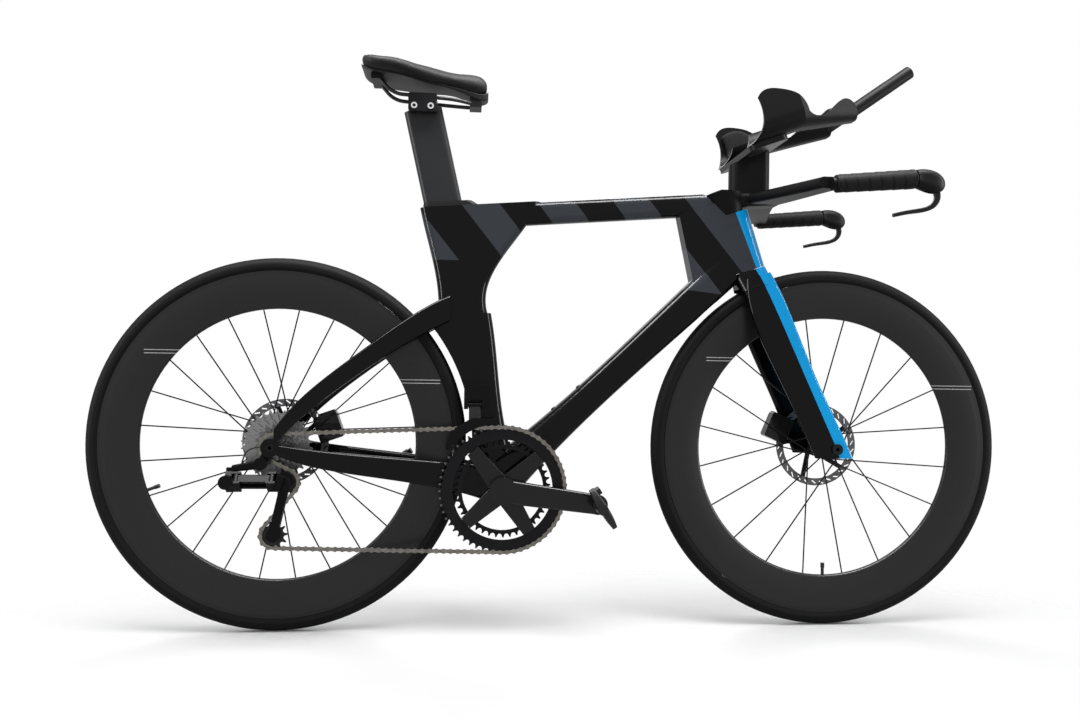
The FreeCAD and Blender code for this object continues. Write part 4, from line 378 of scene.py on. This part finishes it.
plain_finish("derailleur_black", (0.006, 0.006, 0.0067), "rear_derailleur_base", "derailleur_outer_link",
             "derailleur_inner_link", "derailleur_knuckle", "derailleur_cage", "front_derailleur_body",
             "front_derailleur_cage", roughness=0.34, scale=300, strength=0.06, specular=0.05)
plain_finish("pulley_resin", (0.008, 0.008, 0.0085), "guide_pulley", "tension_pulley",
             roughness=0.5, scale=600, strength=0.1, specular=0.2)

# Power lead: a thin cable in a soft black sleeve. It leaves the frame end behind the axle, curves back and
# down, and enters the derailleur's base.


def put(name, data):
    """Places new geometry, a lamp or the camera in the scene as one object."""
    placed = bpy.data.objects.new(name, data)
    bpy.context.scene.collection.objects.link(placed)
    return placed


dull_black = (0.006, 0.006, 0.0065)
lead_route = ((-0.0162, -0.081, 0.002), (-0.034, -0.082, 0.0), (-0.044, -0.083, -0.014),
              (-0.0467, -0.083, -0.028))
lead_diameter = 0.0028
lead_curve = bpy.data.curves.new("power_lead", "CURVE")
lead_curve.dimensions = "3D"
lead_curve.bevel_depth = lead_diameter / 2
lead_curve.bevel_resolution = 6
lead_curve.use_fill_caps = True
lead_spline = lead_curve.splines.new("NURBS")
lead_spline.points.add(len(lead_route) - 1)
for point, spot in zip(lead_spline.points, lead_route):
    point.co = (*spot, 1)
lead_spline.order_u = 3
lead_spline.use_endpoint_u = True
lead_spline.resolution_u = 16
power_lead = put("power_lead", lead_curve)
lead_skin, tree, shader = material("lead_skin", dull_black, roughness=0.5, specular=0.2)
grain(tree, shader, scale=900, strength=0.1)
lead_curve.materials.append(lead_skin)
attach(power_lead, "frame")
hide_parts("derailleur_wire")

# Brakes: two-piston calipers in black paint, bolted to the fork and the stay. Their pressed pads sit on
# steel plates either side of the rotor.

plain_finish("caliper_paint", dull_black, "front_caliper", "rear_caliper",
             roughness=0.28, scale=220, strength=0.08, coat=0.2)
plain_finish("pad_compound", (0.10, 0.09, 0.08), "front_brake_pad_left", "front_brake_pad_right",
             "rear_brake_pad_left", "rear_brake_pad_right", roughness=0.7, scale=1200, strength=0.4)

# Seat post and its head: a satin dark grey carbon blade with a rubber boot where it enters the frame,
# two black cheeks on the dark rails, and bright bolt heads whose sockets are dark painted shade.

post_dark, post_light = (0.016, 0.0165, 0.018), (0.025, 0.0255, 0.0275)
post_satin, tree, shader = material("post_satin", post_light, roughness=0.4, specular=0.15)
fibre = texture(tree, "ShaderNodeTexNoise", scale=22)
fibre.inputs["Detail"].default_value = 4
tree.links.new(tint(tree, post_dark, post_light, fibre.outputs["Fac"]), shader.inputs["Base Color"])
grain(tree, shader, scale=140, strength=0.03)
dress(post_satin, "seat_post")

plain_finish("boot_rubber", dull_black, "seatpost_gasket", roughness=0.55, scale=500, strength=0.1)
plain_finish("clamp_black", (0.012, 0.012, 0.013), "saddle_clamp",
             roughness=0.38, scale=400, strength=0.08, metallic=0.4)

bolt_bright, socket_shade, socket_radius = (0.62, 0.62, 0.63), (0.015, 0.015, 0.016), 0.0030
bright, tree, shader = material("bolt_bright", bolt_bright, roughness=0.25, metallic=1.0)
bolt_points = [vertex.co for vertex in nodes["saddle_bolts"].data.vertices]
between_bolts = sum(point.x for point in bolt_points) / len(bolt_points)
colour = bolt_bright
for end in (-1, 1):
    own = [point for point in bolt_points if (point.x - between_bolts) * end > 0]
    middle_x = (min(point.x for point in own) + max(point.x for point in own)) / 2
    middle_z = (min(point.z for point in own) + max(point.z for point in own)) / 2
    radius = flat_distance(tree, along(tree, (1, 0, 0), -middle_x), along(tree, (0, 0, 1), -middle_z))
    # painted shade: a dark disc on each bolt head stands in for the shade inside its socket
    colour = tint(tree, colour, socket_shade, inverse(tree, past(tree, radius, socket_radius)))
tree.links.new(colour, shader.inputs["Base Color"])
grain(tree, shader, scale=700, strength=0.05)
dress(bright, "saddle_bolts")

plain_finish("rail_dark", (0.03, 0.03, 0.0315), "saddle_rails",
             roughness=0.32, scale=400, strength=0.05, metallic=0.7)
plain_finish("saddle_shell_mould", dull_black, "saddle_shell", roughness=0.45, scale=400, strength=0.12)

# Saddle cover: black microfibre over foam on the shell. The crown is full, the sides draw in
# to the shell, and the skin has a fine grip texture with two sewn lines along the nose.


def puffed(node, name, voxel, pressure, cap, settle_frames=20, stiffness=40):
    """A copy of a CAD cushion, evenly re-meshed and swelled like a foam filling under its skin."""
    soft = nodes[node].copy()
    soft.data = nodes[node].data.copy()
    soft.name = name
    soft.parent = None
    soft.matrix_world = Matrix.Identity(4)
    for key in list(soft.keys()):
        del soft[key]
    bpy.context.scene.collection.objects.link(soft)
    bpy.context.view_layer.objects.active = soft
    remesh = soft.modifiers.new("even_skin", "REMESH")
    remesh.mode = "VOXEL"
    remesh.voxel_size = voxel
    relax = soft.modifiers.new("relaxed_skin", "SMOOTH")
    relax.iterations = 4
    relax.factor = 0.5
    with bpy.context.temp_override(object=soft, active_object=soft, selected_objects=[soft]):
        bpy.ops.object.modifier_apply(modifier="even_skin")
        bpy.ops.object.modifier_apply(modifier="relaxed_skin")
    start = [vertex.co.copy() for vertex in soft.data.vertices]
    cloth = soft.modifiers.new("swelling", "CLOTH")
    cloth.settings.use_pressure = True
    cloth.settings.uniform_pressure_force = pressure
    cloth.settings.tension_stiffness = stiffness
    cloth.settings.compression_stiffness = stiffness
    cloth.settings.effector_weights.gravity = 0
    cloth.point_cache.frame_start = 1
    cloth.point_cache.frame_end = settle_frames
    scene = bpy.context.scene
    for number in range(1, settle_frames + 1):
        scene.frame_set(number)
    settled = soft.evaluated_get(bpy.context.evaluated_depsgraph_get())
    moved = [vertex.co.copy() for vertex in settled.data.vertices]
    soft.modifiers.remove(cloth)
    scene.frame_set(1)
    for vertex, before, after in zip(soft.data.vertices, start, moved):
        step = after - before
        if step.length > cap:
            step = step.normalized() * cap
        vertex.co = before + step
    finer = soft.modifiers.new("fine_skin", "SUBSURF")
    finer.levels = 1
    finer.render_levels = 1
    soft.data.shade_smooth()
    return soft


skin_black, thread_black = (0.008, 0.008, 0.0085), (0.020, 0.020, 0.021)
seam_side, seam_half = 0.016, 0.0007
cover = puffed("saddle_cover", "saddle_skin", voxel=0.005, pressure=3.0, cap=0.0025)
microfibre, tree, shader = material("saddle_microfibre", skin_black, roughness=0.55)
shader.inputs["Sheen Weight"].default_value = 0.04
pores = texture(tree, "ShaderNodeTexVoronoi", scale=900)
emboss(tree, shader, pores.outputs["Distance"], strength=0.3, distance=0.0003)
from_middle = math_node(tree, "ABSOLUTE", along(tree, (0, 1, 0)))
off_seam = math_node(tree, "ABSOLUTE", math_node(tree, "SUBTRACT", from_middle, seam_side))
seam = inverse(tree, past(tree, off_seam, seam_half, blur=0.0003))
tree.links.new(tint(tree, skin_black, thread_black, seam), shader.inputs["Base Color"])
cover.data.materials.clear()
cover.data.materials.append(microfibre)
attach(cover, "seat")
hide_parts("saddle_cover")

# Base bar, riser and bracket: one matt carbon wing clamped on the steerer, a hollow riser block
# and a machined plate that carries both arm rests.

plain_finish("cockpit_matt", dull_black, "base_bar", "riser",
             roughness=0.44, scale=180, strength=0.08, specular=0.06)
plain_finish("bracket_anodised", (0.010, 0.010, 0.011), "extension_bracket",
             roughness=0.38, scale=240, strength=0.1, stretch=(1, 8, 1), metallic=0.3)

# Extensions: moulded carbon arm cups that run forward into raised hand grips, matt black,
# with a small round shift button in each tip.

plain_finish("extension_carbon", dull_black, "extensions",
             roughness=0.48, scale=160, strength=0.04, specular=0.06)
plain_finish("button_moulding", (0.015, 0.015, 0.0155), "shift_button_left", "shift_button_right",
             roughness=0.4, scale=700, strength=0.15)

# Arm pads: moulded foam with a knitted face, pressed into the cups and held by hook strips.
# The knit's rows show as a fine uneven ribbing.

knit_low, knit_high = (0.005, 0.005, 0.0055), (0.011, 0.011, 0.0115)
pads = puffed("arm_pads", "arm_pad_foam", voxel=0.004, pressure=2.0, cap=0.0012)
knit, tree, shader = material("arm_pad_knit", dull_black, roughness=0.8)
shader.inputs["Sheen Weight"].default_value = 0.05
stitch = texture(tree, "ShaderNodeTexWave", scale=420)
stitch.inputs["Distortion"].default_value = 2.0
emboss(tree, shader, stitch.outputs["Fac"], strength=0.5, distance=0.0005)
tree.links.new(tint(tree, knit_low, knit_high, stitch.outputs["Fac"]), shader.inputs["Base Color"])
pads.data.materials.clear()
pads.data.materials.append(knit)
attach(pads, "steering")
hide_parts("arm_pads")

# Bar tape: soft black tape wound round each grip in overlapping turns from the lever towards the wing,
# so each turn leaves a small step. It is pulled down at both ends.

tape_slope = math.radians(5)
tape_heading = Vector((math.cos(tape_slope), 0, math.sin(tape_slope)))
tape_lift = Vector((-math.sin(tape_slope), 0, math.cos(tape_slope)))
tape_start_x, tape_end_x = 0.9580, 1.0985
grip_side, grip_x, grip_z = 0.197, 0.9522, 0.464
tape_radius, tape_widening = 0.0150, 0.0014
turn_width, turn_step, step_steepness = 0.021, 0.0007, 9
end_radius, end_taper = 0.86, 12
tape_rows, tape_columns = 120, 72
tape_length = (tape_end_x - tape_start_x) / math.cos(tape_slope)
tape_start_z = grip_z + (tape_start_x - grip_x) * math.tan(tape_slope)
tape_mesh = bmesh.new()
for side in (-1, 1):
    begin = Vector((tape_start_x, side * grip_side, tape_start_z))
    rings = []
    for row in range(tape_rows + 1):
        share = row / tape_rows
        ring = []
        for column in range(tape_columns):
            angle = 2 * math.pi * column / tape_columns
            phase = (share * tape_length / turn_width + side * angle / (2 * math.pi)) % 1.0
            step = turn_step * min(1.0, phase * step_steepness) * (1 - phase)
            taper = min(1.0, end_taper * share + end_radius, end_taper * (1 - share) + end_radius)
            radius = (tape_radius + tape_widening * share) * taper + step
            ring.append(tape_mesh.verts.new(begin + tape_heading * (share * tape_length)
                                            + tape_lift * (radius * math.sin(angle))
                                            + Vector((0, radius * math.cos(angle), 0))))
        rings.append(ring)
    for lower, upper in zip(rings, rings[1:]):
        for column in range(tape_columns):
            following = (column + 1) % tape_columns
            tape_mesh.faces.new((lower[column], lower[following], upper[following], upper[column]))
    for ring in (rings[0], rings[-1]):
        tape_mesh.faces.new(ring)
bmesh.ops.recalc_face_normals(tape_mesh, faces=tape_mesh.faces)
tape_data = bpy.data.meshes.new("grip_tape")
tape_mesh.to_mesh(tape_data)
tape_mesh.free()
tape_data.shade_smooth()
tape = put("grip_tape", tape_data)
tape_skin, tree, shader = material("tape_skin", dull_black, roughness=0.58, specular=0.07)
dots = texture(tree, "ShaderNodeTexVoronoi", scale=620)
emboss(tree, shader, dots.outputs["Distance"], strength=0.35, distance=0.0004)
tape_data.materials.append(tape_skin)
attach(tape, "steering")
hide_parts("bar_tape")

# Brake levers: moulded bar-end bodies in matt black, pushed into the grips.
# Their forged black blades hang on cross pins.

plain_finish("lever_housing_mould", dull_black, "lever_housings",
             roughness=0.46, scale=500, strength=0.15, specular=0.07)
plain_finish("lever_blade", (0.008, 0.008, 0.0085), "brake_lever_left", "brake_lever_right",
             roughness=0.3, scale=260, strength=0.06, coat=0.12)

# Bottle bosses: two low button-head bolts that close the threaded bosses on top of the down tube.
# Each has a flange under a smaller domed head and is seated on the tube's skin.

tube_heading = Vector((0.728, 0, 0.686))
tube_face = Vector((-0.686, 0, 0.728))
tube_turn = Matrix((tube_heading, Vector((0, 1, 0)), tube_face)).transposed().to_4x4()
boss_places = (Vector((0.496, 0, 0.0735)), Vector((0.541, 0, 0.1160)))
bolt_steps = ((0.0052, 0.0022, 0.0), (0.0042, 0.0012, 0.0016))
bolt_crown, clear_of_tube = 0.9, 0.03
boss_data = bmesh.new()
for place in boss_places:
    seat = nodes["front_triangle"].ray_cast(place + tube_face * clear_of_tube, -tube_face)[1]
    for radius, tall, lift in bolt_steps:
        bmesh.ops.create_cone(boss_data, cap_ends=True, segments=32, radius1=radius,
                              radius2=radius * bolt_crown, depth=tall,
                              matrix=Matrix.Translation(seat + tube_face * lift) @ tube_turn)
boss_mesh = bpy.data.meshes.new("bottle_bolts")
boss_data.to_mesh(boss_mesh)
boss_data.free()
bolts = put("bottle_bolts", boss_mesh)
bolt_black, tree, shader = material("bottle_bolt_black", (0.02, 0.02, 0.021), roughness=0.35, metallic=0.7)
grain(tree, shader, scale=600, strength=0.1)
boss_mesh.materials.append(bolt_black)
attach(bolts, "frame")

# Studio: a pale floor under the tyres that fades into a white surround. Two lamps light the bike from above
# and behind, and three panels over it and at its ends only draw the sheen on its lacquer.

floor_level = cad_box[0][2] - 0.0004
floor_corners = ((-2.5, -2.5), (3.5, -2.5), (3.5, 2.5), (-2.5, 2.5))
fade_middle_x, fade_middle_y = 0.51, -0.1
fade_half_length, fade_half_depth = 1.35, 0.62
fade_edge, fade_blur = 0.72, 0.28
floor_mesh = bpy.data.meshes.new("studio_floor")
floor_mesh.from_pydata([(*corner, floor_level) for corner in floor_corners], [], [(0, 1, 2, 3)])
floor = put("studio_floor", floor_mesh)
floor_paint, tree, shader = material("floor_paint", (0.9, 0.9, 0.9), roughness=0.7)
fade_along = math_node(tree, "DIVIDE", along(tree, (1, 0, 0), -fade_middle_x), fade_half_length)
fade_across = math_node(tree, "DIVIDE", along(tree, (0, 1, 0), -fade_middle_y), fade_half_depth)
faded = past(tree, flat_distance(tree, fade_along, fade_across), fade_edge, fade_blur)
tree.links.new(inverse(tree, faded), shader.inputs["Alpha"])
grain(tree, shader, scale=40, strength=0.02)
floor_mesh.materials.append(floor_paint)

world = bpy.data.worlds.new("studio_surround")
bpy.context.scene.world = world
world.use_nodes = True
tree = world.node_tree
background = tree.nodes["Background"]
ray = tree.nodes.new("ShaderNodeLightPath")
shown = math_node(tree, "MAXIMUM", ray.outputs["Is Camera Ray"], ray.outputs["Is Glossy Ray"])
shown = math_node(tree, "MAXIMUM", shown, ray.outputs["Is Transmission Ray"])
tree.links.new(tint(tree, (0.55, 0.55, 0.56), (1, 1, 1), shown), background.inputs["Color"])
background.inputs["Strength"].default_value = 1.0

lamps = (("key_lamp", (0.4, -0.6, 2.6), (0.5, 0, 0.1), (2.6, 1.2), 60, False),
         ("back_lamp", (0.6, 2.4, 1.8), (0.5, 0, 0.2), (2.4, 1.0), 26, False),
         ("top_panel", (0.5, -0.5, 2.2), (0.5, 0, 0.2), (3.0, 0.8), 300, True),
         ("left_panel", (-1.9, -0.7, 0.7), (0.2, 0, 0.1), (0.5, 2.0), 70, True),
         ("right_panel", (2.9, -0.7, 0.7), (0.8, 0, 0.2), (0.5, 2.0), 70, True))
for name, place, aim, size, watts, sheen_only in lamps:
    lamp_data = bpy.data.lights.new(name, "AREA")
    lamp_data.shape = "RECTANGLE"
    lamp_data.size, lamp_data.size_y = size
    lamp_data.energy = watts
    lamp = put(name, lamp_data)
    lamp.location = place
    lamp.rotation_euler = (Vector(aim) - Vector(place)).to_track_quat("-Z", "Y").to_euler()
    lamp.visible_diffuse = not sheen_only

# Camera: a level view of the drive side from about bottle height, turned slightly towards the front wheel.
# It stands close, so the near pedal and grip look larger than the far ones.

picture_width, sensor_width = 1080, 36
focal_pixels = 875.1
camera_at = Vector((0.3288, -1.6335, 0.1456))
yaw, pitch, roll = math.radians(5.11), math.radians(0.48), math.radians(0.745)
level_ahead = Vector((math.sin(yaw), math.cos(yaw), 0))
level_right = Vector((math.cos(yaw), -math.sin(yaw), 0))
ahead = level_ahead * math.cos(pitch) + Vector((0, 0, math.sin(pitch)))
tilted_up = level_ahead * -math.sin(pitch) + Vector((0, 0, math.cos(pitch)))
right = level_right * math.cos(roll) + tilted_up * math.sin(roll)
upward = level_right * -math.sin(roll) + tilted_up * math.cos(roll)
camera_data = bpy.data.cameras.new("side_camera")
camera_data.sensor_width = sensor_width
camera_data.lens = focal_pixels * sensor_width / picture_width
camera = put("side_camera", camera_data)
camera.matrix_world = Matrix.Translation(camera_at) @ Matrix((right, upward, -ahead)).transposed().to_4x4()
bpy.context.scene.camera = camera
bpy.context.scene.view_settings.view_transform = "Standard"
